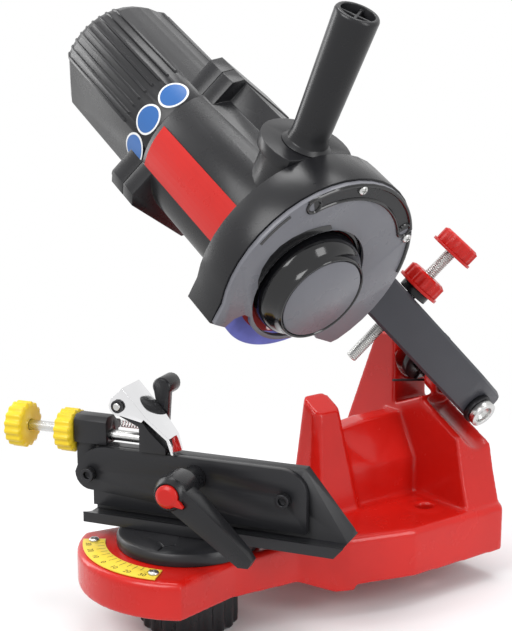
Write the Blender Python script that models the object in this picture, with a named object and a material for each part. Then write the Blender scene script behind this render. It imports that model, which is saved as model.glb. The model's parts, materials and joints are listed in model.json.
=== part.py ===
"""Bench chain grinder: a tilted grinding head on a sprung arm, over a swivelling chain vise.

Lengths are in metres and +Z is up. The origin lies on the bench face under the casting, midway
between the two bench bolt holes. -Y is the front, where the vise overhangs the bench.
"""
import math

import bmesh
import bpy
from mathutils import Matrix, Vector

# Clearances and cutters
GAP = 0.0003
SEAT = 0.0004
RUNNING = 0.0005
OVERRUN = 0.004
MERGE = 0.000004
FLATNESS = math.radians(0.05)

# Sides of round sections
WIDE = 48
ROUND = 32
SMALL = 20
TINY = 14

# Base casting, measured from the turntable axis on its top face
BASE_HEIGHT = 0.0325
TURN_TO_BOLTS = 0.160
NOSE_R = 0.0695
NOSE_HALF_SWEEP = math.radians(51)
NOSE_CORNER_X = 0.0545
NECK_X = 0.0455
NECK_FRONT_Y = 0.002
NECK_REAR_Y = 0.052
FLARE_X = 0.0600
FLARE_Y = 0.082
BODY_X = 0.0740
BODY_Y = 0.126
REAR_X = 0.0775
REAR_Y = 0.209
REAR_CHAMFER = 0.0040
NOSE_DEPTH = 0.0235
NECK_DEPTH = 0.0270
LIP_FRONT_Y = 0.074
LIP_REAR_Y = 0.087
LIP_DROP = 0.0035
BASE_EDGE = 0.0025
BASE_WALL = 0.0055
BASE_SKIN = 0.0070
RIB_HALF = 0.0040
BOLT_X = 0.0480
BOLT_HOLE_R = 0.0058
BOLT_BOSS_R = 0.0125
BOLT_BOSS_RISE = 0.0012
BOLT_STEP_R = 0.0095
CENTRE_BOSS_R = 0.0200
STUD_BORE_R = 0.0054

# Stop post and the spine behind it
POST_X = 0.0085
POST_Y = 0.1015
POST_HEIGHT = 0.0735
POST_TOP_HALF_X = 0.0085
POST_TOP_HALF_Y = 0.0105
POST_FOOT_HALF_X = 0.0165
POST_FOOT_FRONT_Y = 0.083
POST_FOOT_REAR_Y = 0.128
POST_CHAMFER_SHARE = 0.38
SPINE_FRONT_Y = 0.108
SPINE_HALF = 0.0205
SPINE_WALL = 0.0260
SPINE_RIDGE = 0.0545
SPINE_RIDGE_HALF = 0.0070
SPINE_REAR_HALF = 0.0225

# Tower that carries the pivot
TOWER_FRONT_Y = 0.176
TOWER_LEFT_FOOT = 0.0650
TOWER_LEFT_MID_X = 0.0505
TOWER_LEFT_MID_Z = 0.0340
TOWER_LEFT_TOP_X = 0.0228
TOWER_LEFT_TOP_Z = 0.0998
TOWER_TOP_X = 0.0180
TOWER_TOP_Z = 0.1080
CAVITY_LEFT_X = 0.0003
CAVITY_FLOOR_Z = 0.0592
CAVITY_RIGHT_X = 0.0260
CAVITY_RIGHT_Z = 0.0695
TOWER_RIGHT_TOP_X = 0.0555
TOWER_RIGHT_TOP_Z = 0.0700
TOWER_RIGHT_MID_X = 0.0660
TOWER_RIGHT_MID_Z = 0.0210
TOWER_REAR_SET = 0.0007

# Pivot axis, tilted like the spindle; distances along it run back from the bolt head's face
TILT = math.radians(30)
PIVOT_X = 0.0638
PIVOT_Y = 0.1982
PIVOT_Z = 0.0605
HEAD_LENGTH = 0.0048
HEAD_R = 0.0096
SOCKET_R = 0.0062
SOCKET_DEPTH = 0.0045
COLLAR_R = 0.0108
COLLAR_LENGTH = 0.0038
PIN_R = 0.0050
BUSH_WALL = 0.0016
HUB_WALL = 0.0026
CHEEK_OUTER = 0.0360
CHEEK_INNER = 0.0480
CHEEK_BOSS_R = 0.0150
HUB_END = 0.0735
LEFT_BOSS_START = 0.0742
LEFT_BOSS_END = 0.0960
LEFT_BOSS_R = 0.0135
NUT_R = 0.0085
NUT_LENGTH = 0.0070
PIN_END = 0.1045
ARM_SWEEP_R = 0.0215
ARM_SWEEP_BELOW = 0.0130
ARM_SWEEP = math.radians(25.6)

# Return spring round the arm's hub
SPRING_WIRE_R = 0.0009
SPRING_PITCH = 0.0024
SPRING_CURLS = 4
SPRING_START = 0.0492
SPRING_POINTS = 10
DRUM_R = 0.0200
DRUM_START = 0.0606
DRUM_LENGTH = 0.0045
SPRING_LEG = 0.0400
SPRING_TAIL = 0.0080
SPRING_LEG_TURN = math.radians(110.5)

# Grinding head: spindle place and swing
SWING_RADIUS = 0.1974
REST_RISE = math.radians(31.5)
SPINDLE_SETBACK = 0.0531

# Grinding wheel and its clamp
WHEEL_R = 0.0525
WHEEL_THICK = 0.0045
WHEEL_BORE_R = 0.0111
SHAFT_R = 0.0060
FLANGE_R = 0.0200
FLANGE_LENGTH = 0.0060
CAP_BASE_R = 0.0345
CAP_SHOULDER_R = 0.0330
CAP_NECK_R = 0.0292
CAP_RIM_R = 0.0282
CAP_BASE_Z = 0.0060
CAP_SHOULDER_Z = 0.0150
CAP_NECK_Z = 0.0205
CAP_FRONT_Z = 0.0250
CAP_WALL = 0.0030
CAP_HUB_R = 0.0130
CAP_HUB_DEPTH = 0.0190
DISC_R = 0.0262
DISC_THICK = 0.0012
DISC_RECESS = 0.0016
SHAFT_FRONT = 0.0160

# Guard round the wheel
GUARD_X = -0.0035
GUARD_Y = -0.0070
GUARD_WALL = 0.0030
GUARD_ROOM = 0.0105
GUARD_R = WHEEL_R + GUARD_ROOM + GUARD_WALL
GUARD_BACK_Z = -0.0160
GUARD_RIM_Z = 0.0080
GUARD_START = math.radians(-42)
GUARD_END = math.radians(203)
GUARD_HUB_R = 0.0120
COVER_THICK = 0.0028
COVER_INSET = 0.0012
COVER_R = GUARD_R - COVER_INSET
COVER_HOLE_R = 0.0380
COVER_RING_R = 0.0405
COVER_RING_START = math.radians(212)
COVER_RING_END = math.radians(292)
TOE_X_SHARE = 0.606
TOE_Y_SHARE = 0.727
ARCH_LEFT_X_SHARE = 0.470
ARCH_TOP_X_SHARE = 0.341
ARCH_TOP_Y_SHARE = 0.508
LOBE_X_SHARE = -0.909
LOBE_Y_SHARE = 0.341
LOBE_INNER_X_SHARE = -0.674
LOBE_INNER_Y_SHARE = 0.379
LUG_R = 0.0055
LUG_ANGLES = (math.radians(62), math.radians(127))
COVER_SCREW_R = 0.0029
COVER_SCREW_HEAD = 0.0018
COVER_SCREW_SHANK_R = 0.0015
COVER_SCREW_LENGTH = 0.0120

# Motor casing: the barrel sits a little above the spindle
BARREL_Y = -0.0070
BARREL_R = 0.0430
BARREL_WALL = 0.0035
NOSE_WALL = 0.0060
HOUSING_FRONT_Z = -0.0163
SPLIT_Z = -0.1170
FLANGE_BACK = 0.0120
TAIL_COLLAR = 0.0137
TAIL_END_Z = -0.2295
TAIL_STEP = 0.0004
TAIL_R = BARREL_R - TAIL_STEP
TAIL_ROUNDING = 0.0100
COLLAR_SINK = 0.0015
COLLAR_R_SIDE = BARREL_R - COLLAR_SINK
COLLAR_HALF_X_SHARE = 0.7952
COLLAR_HALF_X = COLLAR_R_SIDE * COLLAR_HALF_X_SHARE
COLLAR_EAR = 0.0080
COLLAR_HALF_Y = BARREL_R + COLLAR_EAR
COLLAR_CORNER = 0.0060
RIB_HEIGHT = 0.0012
RIB_HALF_ANGLE = math.radians(0.9)
RIB_STEP = math.radians(7.5)
RIBS_IN_GROUP = 9
RIB_GROUP_STARTS = (math.radians(-24), math.radians(86), math.radians(196))
RIB_RUN_START = 0.0127
TOP_BOX_HALF_X = 0.0240
TOP_BOX_RISE = 0.0070
TOP_BOX_Y = BARREL_Y - BARREL_R - TOP_BOX_RISE
TOP_BOX_FRONT_Z = -0.0450
BEARING_R = 0.0160
BEARING_LENGTH = 0.0100
BEARING_SEAT_LIP = 0.0040
BEARING_POCKET_WALL = 0.0030
STATOR_ROOM = 0.0075
STATOR_R = BARREL_R - BARREL_WALL - STATOR_ROOM
STATOR_BORE_SHARE = 0.64
STATOR_BORE_R = STATOR_R * STATOR_BORE_SHARE
STATOR_FRONT_Z = -0.0620
STATOR_BACK_Z = -0.1400
ROTOR_R = STATOR_BORE_R - RUNNING
FAN_ROOM = 0.0106
FAN_R = TAIL_R - BARREL_WALL - FAN_ROOM
FAN_HUB_R = 0.0110
FAN_FRONT_Z = -0.1560
FAN_LENGTH = 0.0120
FAN_BLADES = 9
FAN_BLADE_THICK = 0.0018
SHAFT_BACK_Z = -0.2145
CAPACITOR_R = 0.0080
CAPACITOR_Y = TOP_BOX_Y + BARREL_WALL + GAP + CAPACITOR_R
CAPACITOR_FRONT_Z = -0.0600
CAPACITOR_LENGTH = 0.0520
SCREW_X = COLLAR_HALF_X - COLLAR_CORNER
SCREW_R = 0.0018
SCREW_HEAD_R = 0.0033
SCREW_HEAD = 0.0022
SCREW_REACH = 0.0080

# Handle and its boss on the casing, square to the spindle and leaning forwards
HANDLE_Z = -0.0310
HANDLE_LEAN = math.radians(31.5)
BOSS_R = 0.0270
BOSS_RISE = 0.0240
BOSS_TOP = BARREL_R + BOSS_RISE
BOSS_NECK_R = 0.0235
BOSS_LIP = 0.0070
BOSS_NECK_TOP = BOSS_TOP - BOSS_LIP
BOSS_SOCKET_R = 0.0085
BOSS_SOCKET_DEPTH = 0.0140
HANDLE_SPIGOT_R = 0.0080
HANDLE_FOOT_R = 0.0110
HANDLE_FLARE_R = 0.0150
HANDLE_END_R = 0.0128
HANDLE_LENGTH = 0.0820
HANDLE_TOP = BOSS_TOP + HANDLE_LENGTH
HANDLE_BORE_R = 0.0098
HANDLE_BORE_DEPTH = 0.0550
HANDLE_CROSS_HALF = 0.0009
HANDLE_CROSS_DROP = 0.0020

# Label strip on the casing
LABEL_THICK = 0.0005
LABEL_FRONT_Z = -0.0290
LABEL_BACK_Z = -0.1130
LABEL_LOW = math.radians(-38.5)
LABEL_HIGH = math.radians(-1.5)
LABEL_STEPS = 8

# Switch and cable gland on the far side of the casing
SWITCH_Y = -0.0070
SWITCH_Z = -0.0920
SWITCH_HALF_Y = 0.0110
SWITCH_HALF_Z = 0.0150
SWITCH_PAD = 0.0040
SWITCH_BEZEL = 0.0022
SWITCH_RIM = 0.0025
ROCKER_RISE = 0.0030
ROCKER_THROW = math.radians(8)
GLAND_ANGLE = math.radians(205)
GLAND_Z = -0.1890
GLAND_R = 0.0070
GLAND_LENGTH = 0.0130
GLAND_BORE_R = 0.0036
GLAND_NUT_R = 0.0095
GLAND_NUT_LENGTH = 0.0050

# Arm from the pivot to the back of the guard
ARM_WIDTH = 0.0275
ARM_DEPTH = 0.0260
ARM_FRONT = 0.0090
ARM_LEAN = math.radians(6.45)
ARM_AXIS_OFFSET = 0.0040
ARM_TAIL = 0.0170
ARM_FOLD = 0.0254
ARM_CORNER = 0.0075
ARM_EDGE = 0.0018
ARM_PLATE_THICK = 0.0095
ARM_PLATE_ROOM = 0.0015
ARM_PLATE_INNER_R = BARREL_R + ARM_PLATE_ROOM
ARM_PLATE_INSET = 0.0020
ARM_PLATE_OUTER_R = GUARD_R - ARM_PLATE_INSET
ARM_PLATE_LOW = math.radians(150)
ARM_PLATE_HIGH = math.radians(206)
ARM_SCREW_RADIUS = (ARM_PLATE_INNER_R + ARM_PLATE_OUTER_R) / 2
ARM_REACH = SWING_RADIUS - ARM_SCREW_RADIUS
ARM_MEET = 0.0057
ARM_BEND = math.atan((SPINDLE_SETBACK - ARM_FRONT + ARM_MEET) / (ARM_REACH - ARM_FOLD))
ARM_SCREW_ANGLE = math.radians(178)
ARM_SCREW_R = 0.0020
ARM_SCREW_HEAD_R = 0.0040
ARM_SCREW_HEAD = 0.0035

# Depth stud, its two knobs and the threaded collar on the arm
STUD_TO_SPINDLE = 0.1040
STUD_ALONG = SWING_RADIUS - STUD_TO_SPINDLE
STUD_R = 0.0039
STUD_TIP = 0.0266
STUD_CHAMFER = 0.0010
DEPTH_COLLAR_R = 0.0100
DEPTH_COLLAR_LENGTH = 0.0046
KNOB_FLANGE_R = 0.0146
KNOB_R = 0.0134
KNOB_ROOT_R = 0.0124
KNOB_FLANGE = 0.0018
KNOB_HEIGHT = 0.0110
KNOB_RIBS = 14
UPPER_KNOB_RISE = 0.0760
DEPTH_TRAVEL = 0.0060

# Turntable and the clamp under it
TURNTABLE_R = 0.0450
TURNTABLE_HEIGHT = 0.0090
TURNTABLE_SHOULDER = 0.0040
POINTER_LENGTH = 0.0120
POINTER_HALF = 0.0060
POINTER_DEPTH = 0.0008
POINTER_LINE = 0.0005
CLAMP_STUD_R = 0.0050
LOCK_KNOB_R = 0.0310
LOCK_KNOB_ROOT_R = 0.0290
LOCK_KNOB_HEIGHT = 0.0290
LOCK_KNOB_RIBS = 20
LOCK_KNOB_CLEAR = 0.0010
LOCK_KNOB_HUB_R = 0.0150
SWIVEL_REST = math.radians(30)

# Angle scale on the casting's nose
SCALE_ROOM = 0.0070
SCALE_WIDTH = 0.0140
SCALE_INNER_R = TURNTABLE_R + SCALE_ROOM
SCALE_OUTER_R = SCALE_INNER_R + SCALE_WIDTH
SCALE_HALF_SWEEP = math.radians(37.5)
SCALE_THICK = 0.0008
SCALE_SCREW_RADIUS = (SCALE_INNER_R + SCALE_OUTER_R) / 2
SCALE_SCREW_ANGLE = math.radians(34.5)
SCALE_SCREW_R = 0.0032
SCALE_SCREW_HEAD = 0.0018
SCALE_SCREW_SHANK_R = 0.0014
SCALE_SCREW_LENGTH = 0.0070
TICK_STEP = math.radians(5)
TICK_COUNT = 13

# Chain vise: u runs along the rail, v towards the rear, both turned with the turntable
SLOT = 0.0016
RAIL_TOP = 0.0555
RAIL_WALL = 0.0075
RAIL_FOOT_FRONT_V = -0.0175
RAIL_FOOT_REAR_V = 0.0175
RAIL_FOOT_THICK = 0.0050
RAIL_FILLET = 0.0060
RAIL_LEFT_U = -0.0650
RAIL_RIGHT_TOP_U = 0.0770
RAIL_RIGHT_MID_U = 0.0870
RAIL_RIGHT_END_U = 0.1080
RAIL_RIGHT_FOOT_U = 0.1010
RAIL_RIGHT_MID_DROP = 0.0065
RAIL_RIGHT_END_RISE = 0.0080
PLATE_THICK = 0.0045
PLATE_LEFT_U = -0.0755
PLATE_RIGHT_U = 0.0800
PLATE_BOTTOM = 0.0170
PLATE_NOTCH_U = -0.0640
PLATE_EAR_R = 0.0110
PLATE_SCREW_U = 0.0660
PLATE_SCREW_Z = 0.0373
PLATE_SCREW_R = 0.0025
PLATE_SCREW_HEAD_R = 0.0045
PLATE_SCREW_HEAD = 0.0045
PLATE_PLAY = 0.0008

# Clamp lever
LEVER_U = 0.0070
LEVER_Z = 0.0440
LEVER_STUD_R = 0.0035
LEVER_NECK_R = 0.0075
LEVER_NECK = 0.0130
LEVER_HUB_R = 0.0110
LEVER_HUB = 0.0250
LEVER_LENGTH = 0.0640
LEVER_DROP = math.radians(29.4)
LEVER_ROOT_HALF = 0.0078
LEVER_TIP_HALF = 0.0052
LEVER_ROOT_THICK = 0.0130
LEVER_TIP_THICK = 0.0080
LEVER_RISE = 0.0120
BUTTON_R = 0.0072
BUTTON_RISE = 0.0028
BUTTON_DEPTH = 0.0050
BUTTON_TAIL = 0.0120

# Chain stop and its adjuster
ROD_V = 0.0065
ROD_Z = 0.0608
ROD_R = 0.0034
ROD_RIGHT_U = -0.0290
BLOCK_LEFT_U = -0.0790
BLOCK_RIGHT_U = -0.0560
BLOCK_HALF_V = 0.0085
BLOCK_BOTTOM = 0.0400
BLOCK_TOP = 0.0735
BLOCK_CHAMFER = 0.0060
ADJUST_LOCK_U = -0.0800
ADJUST_KNOB_U = -0.1160
ADJUST_KNOB_R = 0.0150
ADJUST_KNOB_ROOT_R = 0.0140
ADJUST_KNOB_LENGTH = 0.0125
ADJUST_KNOB_RIBS = 16
ADJUST_TRAVEL = 0.0040
STOP_SPRING_V = 0.0165
STOP_SPRING_Z = 0.0655
STOP_SPRING_R = 0.0022
STOP_SPRING_WIRE_R = 0.0004
STOP_SPRING_CURLS = 12
STOP_SPRING_LEFT_U = -0.0557
BRACKET_LEFT_U = -0.0300
BRACKET_RIGHT_U = -0.0120
BRACKET_BOTTOM = 0.0562
BRACKET_SHOULDER_Z = 0.0690
BRACKET_NOSE_Z = 0.0600
PIN_U = -0.0435
PIN_Z = 0.0845
STOP_PIN_R = 0.0025
EAR_R = 0.0062
FINGER_V_FRONT = -0.0090
FINGER_V_BACK = 0.0150
FINGER_TIP_FRONT = -0.0080
FINGER_TIP_BACK = 0.0070
FINGER_SHEET = 0.0016
FINGER_TOP_U = -0.0405
FINGER_TOP_Z = 0.0965
FINGER_MID_U = -0.0240
FINGER_MID_Z = 0.0790
FINGER_LOW_U = -0.0090
FINGER_LOW_Z = 0.0668
FINGER_TIP_U = -0.0060
FINGER_TIP_Z = 0.0568
CIRCLIP_R = 0.0042
CIRCLIP_THICK = 0.0008
STOP_HANDLE_R = 0.0062
STOP_HANDLE_V = 0.0230
STOP_HANDLE_LENGTH = 0.0170
STOP_HANDLE_U = -0.0255
STOP_HANDLE_Z = 0.0925
STOP_WEB_HALF = 0.0025

# Finishes: colour, roughness and metallic
RED_PAINT = ((0.62, 0.018, 0.012), 0.28, 0.0)
BLACK_CASTING = ((0.018, 0.018, 0.020), 0.42, 0.0)
DARK_ARM = ((0.052, 0.053, 0.060), 0.45, 0.0)
BLACK_PLASTIC = ((0.035, 0.035, 0.038), 0.45, 0.0)
GREY_COVER = ((0.200, 0.200, 0.225), 0.40, 0.0)
GLOSS_BLACK = ((0.006, 0.006, 0.007), 0.12, 0.0)
RED_PLASTIC = ((0.640, 0.030, 0.025), 0.35, 0.0)
YELLOW_PLASTIC = ((0.860, 0.560, 0.020), 0.38, 0.0)
YELLOW_PLATE = ((0.840, 0.560, 0.050), 0.40, 0.0)
BRIGHT_STEEL = ((0.560, 0.560, 0.560), 0.25, 1.0)
BLACK_STEEL = ((0.045, 0.045, 0.048), 0.35, 0.8)
CHROME = ((0.750, 0.750, 0.760), 0.08, 1.0)
BRONZE = ((0.520, 0.330, 0.130), 0.35, 1.0)
BLUE_GRIT = ((0.110, 0.130, 0.520), 0.90, 0.0)
COPPER = ((0.550, 0.250, 0.120), 0.35, 1.0)


def clear_scene():
    """Remove the objects of the scene that the script is run in."""
    for existing in list(bpy.data.objects):
        bpy.data.objects.remove(existing, do_unlink=True)


def axis_frame(name, matrix, parent=None):
    """An empty that stands on an axis; pieces are modelled in its coordinates."""
    empty = bpy.data.objects.new(name, None)
    bpy.context.scene.collection.objects.link(empty)
    empty.parent = parent
    empty.matrix_local = matrix
    return empty


def finish_material(name, finish):
    colour, roughness, metallic = finish
    material = bpy.data.materials.new(name)
    material.use_nodes = True
    shader = material.node_tree.nodes["Principled BSDF"]
    shader.inputs["Base Color"].default_value = (*colour, 1.0)
    shader.inputs["Roughness"].default_value = roughness
    shader.inputs["Metallic"].default_value = metallic
    return material


def solid(name, shape):
    """Turn a bmesh into an object with outward normals, its bent faces split into flat ones."""
    bmesh.ops.connect_verts_nonplanar(shape, angle_limit=FLATNESS, faces=shape.faces)
    bmesh.ops.recalc_face_normals(shape, faces=shape.faces)
    mesh = bpy.data.meshes.new(name)
    shape.to_mesh(mesh)
    shape.free()
    piece = bpy.data.objects.new(name, mesh)
    bpy.context.scene.collection.objects.link(piece)
    return piece


def settle(piece, frame, finish, sharp=math.radians(35)):
    """Give a finished piece its material, its shading and the frame that carries it."""
    piece.data.materials.clear()
    piece.data.materials.append(finish_material(piece.name, finish))
    piece.data.shade_smooth()
    piece.data.set_sharp_from_angle(angle=sharp)
    piece.parent = frame
    return piece


def turned(profile, sides=ROUND):
    """A closed profile of (radius, z) points turned round the z axis."""
    shape = bmesh.new()
    rings = []
    for radius, z in profile:
        if radius == 0:
            rings.append([shape.verts.new((0, 0, z))] * sides)
            continue
        turns = (math.tau * step / sides for step in range(sides))
        rings.append([shape.verts.new((radius * math.cos(a), radius * math.sin(a), z)) for a in turns])
    for lower, upper in zip(rings, rings[1:] + rings[:1]):
        for step in range(sides):
            after = (step + 1) % sides
            corners = [lower[step], lower[after], upper[after], upper[step]]
            face = list(dict.fromkeys(corners))
            if len(face) > 2:
                shape.faces.new(face)
    return shape


def rod(radius, low, high, sides=SMALL, chamfer=0.0):
    """A solid cylinder along z, with chamfered ends if asked."""
    profile = [(0, low), (radius - chamfer, low)]
    if chamfer:
        profile += [(radius, low + chamfer), (radius, high - chamfer)]
    profile += [(radius - chamfer, high), (0, high)]
    return turned(profile, sides)


def tube(inner, outer, low, high, sides=ROUND):
    return turned([(inner, low), (outer, low), (outer, high), (inner, high)], sides)


def lofted(sections):
    """Join equal rings of points, in order, into a closed solid."""
    shape = bmesh.new()
    rings = [[shape.verts.new(point) for point in section] for section in sections]
    count = len(rings[0])
    for lower, upper in zip(rings, rings[1:]):
        for step in range(count):
            after = (step + 1) % count
            shape.faces.new((lower[step], lower[after], upper[after], upper[step]))
    shape.faces.new(list(reversed(rings[0])))
    shape.faces.new(rings[-1])
    return shape


def prism(outline, low, high):
    """Extrude a flat outline of (x, y) points along z."""
    return lofted([[(x, y, z) for x, y in outline] for z in (low, high)])


def box(low, high):
    (x0, y0, z0), (x1, y1, z1) = low, high
    return prism([(x0, y0), (x1, y0), (x1, y1), (x0, y1)], z0, z1)


def moved(shape, matrix):
    bmesh.ops.transform(shape, matrix=matrix, verts=shape.verts)
    return shape


def arc(centre, radius, start, end, steps):
    """Points on an arc, both ends included."""
    turns = (start + (end - start) * step / steps for step in range(steps + 1))
    return [(centre[0] + radius * math.cos(a), centre[1] + radius * math.sin(a)) for a in turns]


def ribbed_outline(outer, root, ribs):
    """A round outline with evenly spaced, flat-topped ribs."""
    points = []
    for rib in range(ribs):
        start = math.tau * rib / ribs
        quarter = math.tau / ribs / 4
        for radius, turn in ((root, 0), (outer, 1), (outer, 2), (root, 3)):
            angle = start + quarter * turn
            points.append((radius * math.cos(angle), radius * math.sin(angle)))
    return points


def tidy(mesh):
    """Merge points that all but coincide, and drop the slivers between them."""
    shape = bmesh.new()
    shape.from_mesh(mesh)
    bmesh.ops.remove_doubles(shape, verts=shape.verts, dist=MERGE)
    bmesh.ops.dissolve_degenerate(shape, edges=shape.edges, dist=MERGE)
    shape.to_mesh(mesh)
    shape.free()


def combine(target, tool, operation):
    """Apply one Boolean at once and drop the tool."""
    if not isinstance(tool, bpy.types.Object):
        tool = solid(target.name + "_tool", tool)
    modifier = target.modifiers.new(operation.lower(), "BOOLEAN")
    modifier.operation = operation
    modifier.solver = "EXACT"
    modifier.object = tool
    bpy.context.view_layer.update()
    result = target.evaluated_get(bpy.context.evaluated_depsgraph_get())
    mesh = bpy.data.meshes.new_from_object(result)
    target.modifiers.clear()
    target.data = mesh
    tidy(mesh)
    bpy.data.objects.remove(tool, do_unlink=True)
    return target


def cut(target, tool):
    return combine(target, tool, "DIFFERENCE")


def fuse(target, tool):
    return combine(target, tool, "UNION")


def along_x(matrix=None):
    """A turn that lays a shape made along z onto x."""
    turn = Matrix.Rotation(math.pi / 2, 4, "Y")
    return matrix @ turn if matrix else turn


def shift(x=0.0, y=0.0, z=0.0):
    return Matrix.Translation((x, y, z))


def polar(radius, angle, z=0.0):
    """A move to a radius and an angle, where the angle rises from x towards the head's top."""
    return shift(radius * math.cos(angle), -radius * math.sin(angle), z)


# Frames of the axes that things turn on or slide along

def build_frames():
    """The empties: bench, turntable, pivot, spindle and the rest, each on its own axis."""
    frames = {}
    bench = axis_frame("base_frame", shift(0, -TURN_TO_BOLTS, BASE_HEIGHT))
    frames["base"] = bench
    frames["swivel"] = axis_frame("swivel_axis", Matrix.Rotation(SWIVEL_REST, 4, "Z"), bench)
    pivot = Vector((PIVOT_X, PIVOT_Y, PIVOT_Z))
    out = Vector((math.cos(TILT), 0, -math.sin(TILT)))
    above = Vector((math.sin(TILT), 0, math.cos(TILT)))
    forward = above * math.sin(REST_RISE) - Vector((0, 1, 0)) * math.cos(REST_RISE)
    down = out.cross(forward)
    turn = Matrix((forward, down, out)).transposed().to_4x4()
    frames["pivot"] = axis_frame("pivot_axis", Matrix.Translation(pivot) @ turn, bench)
    spindle = shift(SWING_RADIUS, 0, -SPINDLE_SETBACK)
    frames["spindle"] = axis_frame("spindle_axis", spindle, frames["pivot"])
    front = Matrix.Rotation(math.pi / 2, 4, "X")
    lever = shift(LEVER_U, 0, LEVER_Z) @ front
    frames["lever"] = axis_frame("lever_axis", lever, frames["swivel"])
    rod_axis = shift(0, ROD_V, ROD_Z) @ along_x()
    frames["rod"] = axis_frame("adjuster_axis", rod_axis, frames["swivel"])
    finger = shift(PIN_U, 0, PIN_Z) @ front
    frames["finger"] = axis_frame("finger_axis", finger, frames["swivel"])
    up = Matrix.Rotation(math.pi / 2, 4, "X")
    stud = shift(STUD_ALONG, 0, -(ARM_FRONT + ARM_DEPTH / 2 + bend_drop(STUD_ALONG))) @ up
    frames["stud"] = axis_frame("depth_axis", stud, frames["pivot"])
    handle = shift(0, 0, HANDLE_Z) @ Matrix.Rotation(HANDLE_LEAN, 4, "Z") @ up
    frames["handle"] = axis_frame("handle_axis", handle, frames["spindle"])
    rocker = shift(-(BARREL_R + SWITCH_PAD), SWITCH_Y, SWITCH_Z) @ Matrix.Rotation(-math.pi / 2, 4, "Y")
    frames["rocker"] = axis_frame("rocker_axis", rocker, frames["spindle"])
    return frames


def bend_drop(along):
    """How far the bent part of the arm has stepped back at a distance from the pivot."""
    return max(0.0, along - ARM_FOLD) * math.tan(ARM_BEND)


# Base casting

def base_outline():
    """The casting's plan, from the nose round the right side and back up the left."""
    nose = arc((0, 0), NOSE_R, -math.pi / 2, -math.pi / 2 + NOSE_HALF_SWEEP, 9)
    right = nose + [
        (NECK_X, NECK_FRONT_Y),
        (NECK_X, NECK_REAR_Y),
        (FLARE_X, FLARE_Y),
        (BODY_X, BODY_Y),
        (REAR_X, REAR_Y - REAR_CHAMFER),
        (REAR_X - REAR_CHAMFER, REAR_Y),
    ]
    left = [(-x, y) for x, y in reversed(right) if x > OVERRUN]
    return right + left


def inset(outline, distance):
    """Move every side of a counter-clockwise outline inwards by the same distance."""
    points = []
    count = len(outline)
    for place in range(count):
        before = Vector(outline[place - 1])
        here = Vector(outline[place])
        after = Vector(outline[(place + 1) % count])
        first = (here - before).normalized()
        second = (after - here).normalized()
        normal = (Vector((-first.y, first.x)) + Vector((-second.y, second.x))).normalized()
        reach = distance / max(normal.dot(Vector((-first.y, first.x))), 0.5)
        points.append(tuple(here + normal * reach))
    return points


def base_slab():
    """The plate of the casting, its underside stepped for the bench edge, hollow beneath."""
    outline = base_outline()
    deep = -BASE_HEIGHT - LIP_DROP
    rings = [(outline, deep), (outline, -BASE_EDGE), (inset(outline, BASE_EDGE), 0)]
    slab = solid("base", lofted([[(x, y, z) for x, y in ring] for ring, z in rings]))
    low = deep - OVERRUN
    front = -NOSE_R - OVERRUN
    rear = REAR_Y + OVERRUN
    slope = (LIP_FRONT_Y - NECK_REAR_Y) / (-NECK_DEPTH - deep)
    under_front = [
        (front, low),
        (LIP_FRONT_Y + OVERRUN * slope, low),
        (NECK_REAR_Y, -NECK_DEPTH),
        (0, -NOSE_DEPTH),
        (front, -NOSE_DEPTH),
    ]
    under_rear = [(LIP_REAR_Y, low), (rear, low), (rear, -BASE_HEIGHT), (LIP_REAR_Y, -BASE_HEIGHT)]
    for side in (under_front, under_rear):
        points = [[(x, y, z) for y, z in side] for x in (-rear, rear)]
        cut(slab, lofted(points))
    return slab


def base_hollow():
    """The space under the casting, with the bosses and ribs that stay."""
    inner = inset(base_outline(), BASE_WALL)
    hollow = solid("base_hollow", prism(inner, -BASE_HEIGHT - NOSE_R, -BASE_SKIN))
    low = -BASE_HEIGHT - NOSE_R - OVERRUN
    top = -BASE_SKIN + OVERRUN
    cut(hollow, rod(CENTRE_BOSS_R, low, top, ROUND))
    for side in (-1, 1):
        cut(hollow, moved(rod(BOLT_BOSS_R, low, top, SMALL), shift(side * BOLT_X, TURN_TO_BOLTS)))
    cut(hollow, box((-RIB_HALF, 0, low), (RIB_HALF, REAR_Y, top)))
    lip = box((-REAR_X, LIP_FRONT_Y + BASE_EDGE, low), (REAR_X, LIP_REAR_Y - BASE_EDGE, top))
    cut(hollow, lip)
    return hollow


def post():
    """The faceted post that the depth stud comes down on, its top square to the stud."""
    def ring(half_x, front, rear, height, slope):
        chamfer = half_x * POST_CHAMFER_SHARE
        corners = [
            (-half_x + chamfer, front),
            (half_x - chamfer, front),
            (half_x, front + chamfer),
            (half_x, rear - chamfer),
            (half_x - chamfer, rear),
            (-half_x + chamfer, rear),
            (-half_x, rear - chamfer),
            (-half_x, front + chamfer),
        ]
        return [(POST_X + x, y, height - x * slope) for x, y in corners]
    top = (POST_Y - POST_TOP_HALF_Y, POST_Y + POST_TOP_HALF_Y)
    slope = math.tan(TILT)
    return lofted([
        ring(POST_FOOT_HALF_X, POST_FOOT_FRONT_Y, POST_FOOT_REAR_Y, -BASE_EDGE, 0),
        ring(POST_TOP_HALF_X, top[0], top[1], POST_HEIGHT, slope),
    ])


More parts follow.
